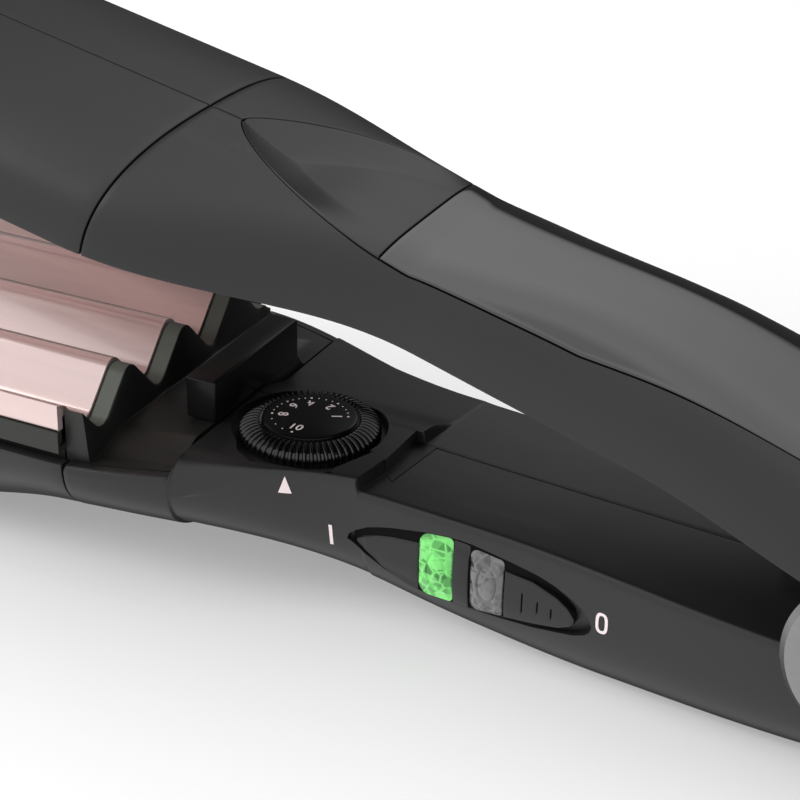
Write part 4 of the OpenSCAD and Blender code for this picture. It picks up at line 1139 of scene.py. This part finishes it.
# Ribbed ring: a turned profile pushed outwards along its own normal by rounded ribs
def makeDial():
    m, steps = 40, 12 * dial["ribs"]
    corners = np.array(dial["ring"])
    s = np.linspace(0, len(corners) - 1, m)
    r, z = [np.interp(s, range(len(corners)), column) for column in corners.T]
    dr, dz = np.gradient(r), np.gradient(z)
    length = np.hypot(dr, dz)
    a = np.linspace(0, 2 * np.pi, steps, endpoint=False)[:, None]
    rib = np.clip(np.cos(a * dial["ribs"]) * 0.9 + 0.35, 0, 1) ** 0.7
    push = dial["ribHeight"] * rib * ease(r, *dial["ribStart"])
    r, z = r - dz / length * push, z + dr / length * push
    grid = np.stack([dial["x"] + r * np.cos(a), dial["y"] + r * np.sin(a), z], -1)
    rims = [[v * m for v in range(steps)][::-1], [v * m + m - 1 for v in range(steps)]]
    piece = meshFrom("dialRing", grid, quadsOf(steps, m, steps, m - 1) + rims, 40)
    finishPiece(piece, dialMat, "dial", ["temperature_dial"])
    face = turned("dialFace", (dial["x"], dial["y"]), dial["disc"], 160)
    finishPiece(face, discMat, "dial", ["dial_disc"])


# Points and faces of flat text as a thin solid, in millimetres round its own middle
def glyph(text, size):
    curve = bpy.data.curves.new("text", "FONT")
    curve.body = text
    curve.size = size
    curve.align_x = curve.align_y = "CENTER"
    curve.extrude = 0.025
    curve.offset = 0.02
    curve.resolution_u = 6
    obj = bpy.data.objects.new("text", curve)
    bpy.context.scene.collection.objects.link(obj)
    bpy.context.view_layer.update()
    mesh = bpy.data.meshes.new_from_object(obj.evaluated_get(bpy.context.evaluated_depsgraph_get()))
    bpy.data.objects.remove(obj)
    co, faces = pointsOf(mesh), [list(p.vertices) for p in mesh.polygons]
    bpy.data.meshes.remove(mesh)
    co[:, :2] -= (co[:, :2].max(0) + co[:, :2].min(0)) / 2
    return co, faces


# Points and faces of a slab: an outline at two heights, the lower one first
def slab(u, v, low, high):
    n = len(u)
    sides = [[k, (k + 1) % n, n + (k + 1) % n, n + k] for k in range(n)]
    points = np.vstack([np.column_stack([u, v, np.full(n, h)]) for h in (low, high)])
    return points, [list(range(n))[::-1], list(range(n, 2 * n))] + sides


# Numerals round the dial with their feet outwards, and dots between them
def makeDialMarks():
    marks, (big, small) = [], dial["dots"]
    for text, angle in dial["marks"]:
        co, faces = glyph(text, dial["textSize"])
        a = math.radians(angle)
        c, s = math.cos(a + math.pi / 2), math.sin(a + math.pi / 2)
        x = co[:, 0] * c - co[:, 1] * s + dial["x"] + dial["textR"] * math.cos(a)
        y = co[:, 0] * s + co[:, 1] * c + dial["y"] + dial["textR"] * math.sin(a)
        marks.append((np.column_stack([x, y, dial["top"] + 0.02 + co[:, 2]]), faces))
    angles = [angle for _, angle in dial["marks"]]
    spots = [(mix(start, end, k / 4), small if k else big)
             for start, end in zip(angles, angles[1:]) for k in range(4)]
    ring = np.linspace(0, 2 * np.pi, 12, endpoint=False)
    for angle, size in spots + [(angles[-1], big)]:
        a = math.radians(angle)
        u = dial["x"] + dial["dotR"] * math.cos(a) + size * np.cos(ring)
        v = dial["y"] + dial["dotR"] * math.sin(a) + size * np.sin(ring)
        marks.append(slab(u, v, dial["top"] - 0.01, dial["top"] + 0.04))
    finishPiece(merged("dialMarks", marks), printMat, "dial")


makeDial()
makeDialMarks()
print("dial")


# the marks I and 0 and the pointer: outlines round their middles, and their places in x and z
wallMarks = {
    "bar": ([(-0.25, -1.8), (0.25, -1.8), (0.25, 1.8), (-0.25, 1.8)], 18.0, 14.4),
    "pointer": ([(-0.95, -1.4), (0.95, -1.4), (0, 1.4)], 11.6, 22.2),
    "ovals": ((0.95, 1.7), (0.5, 1.25), 61.0, 12.7), "half": 0.03,
}


# Lays a flat mark on the wall of the lower handle
def onWall(flat, x, z):
    px, pz = x + flat[:, 0], z + flat[:, 1]
    return np.column_stack([px, -wallY(px, pz) - 0.02 - flat[:, 2], pz])


def makeWallMarks():
    half, marks = wallMarks["half"], []
    for outline, x, z in (wallMarks["bar"], wallMarks["pointer"]):
        points, faces = slab(*np.array(outline).T, -half, half)
        marks.append((onWall(points, x, z), faces))
    # a tube between a squarish oval and a smaller one inside it
    outer, inner, x, z = wallMarks["ovals"]
    n = 40
    ring = np.linspace(0, 2 * np.pi, n, endpoint=False)
    c, s = [np.abs(v) ** 0.7 * np.sign(v) for v in (np.cos(ring), np.sin(ring))]
    loops = [np.column_stack([a * c, b * s, np.full(n, h)])
             for (a, b), h in ((outer, -half), (outer, half), (inner, half), (inner, -half))]
    faces = [[q * n + v, q * n + w, p * n + w, p * n + v]
             for q, p in ((0, 1), (1, 2), (2, 3), (3, 0)) for v, w in zip(range(n), [*range(1, n), 0])]
    marks.append((onWall(np.vstack(loops), x, z), faces))
    finishPiece(merged("wallMarks", marks), printMat, "lower_arm")


makeWallMarks()

finishes = [
    (heatMat, "lower_plate_frame tip_end_block upper_plate_frame upper_inner_cover"),
    (shellMat, "dial_deck"), (plateMat, "upper_plate"), (ceramicMat, "lower_heater upper_heater"),
    (steelMat, "lower_clamp upper_clamp slide_switch lower_screws upper_screws pivot_pin opening_spring"),
    (partMat, "potentiometer indicator_leds thermal_fuse"), (boardMat, "control_board"),
    (silverMat, "pivot_disc_front pivot_disc_back"), (glandMat, "cord_gland"),
]
for mat, names in finishes:
    for name in names.split():
        nodes[name].data.materials.clear()
        nodes[name].data.materials.append(mat)
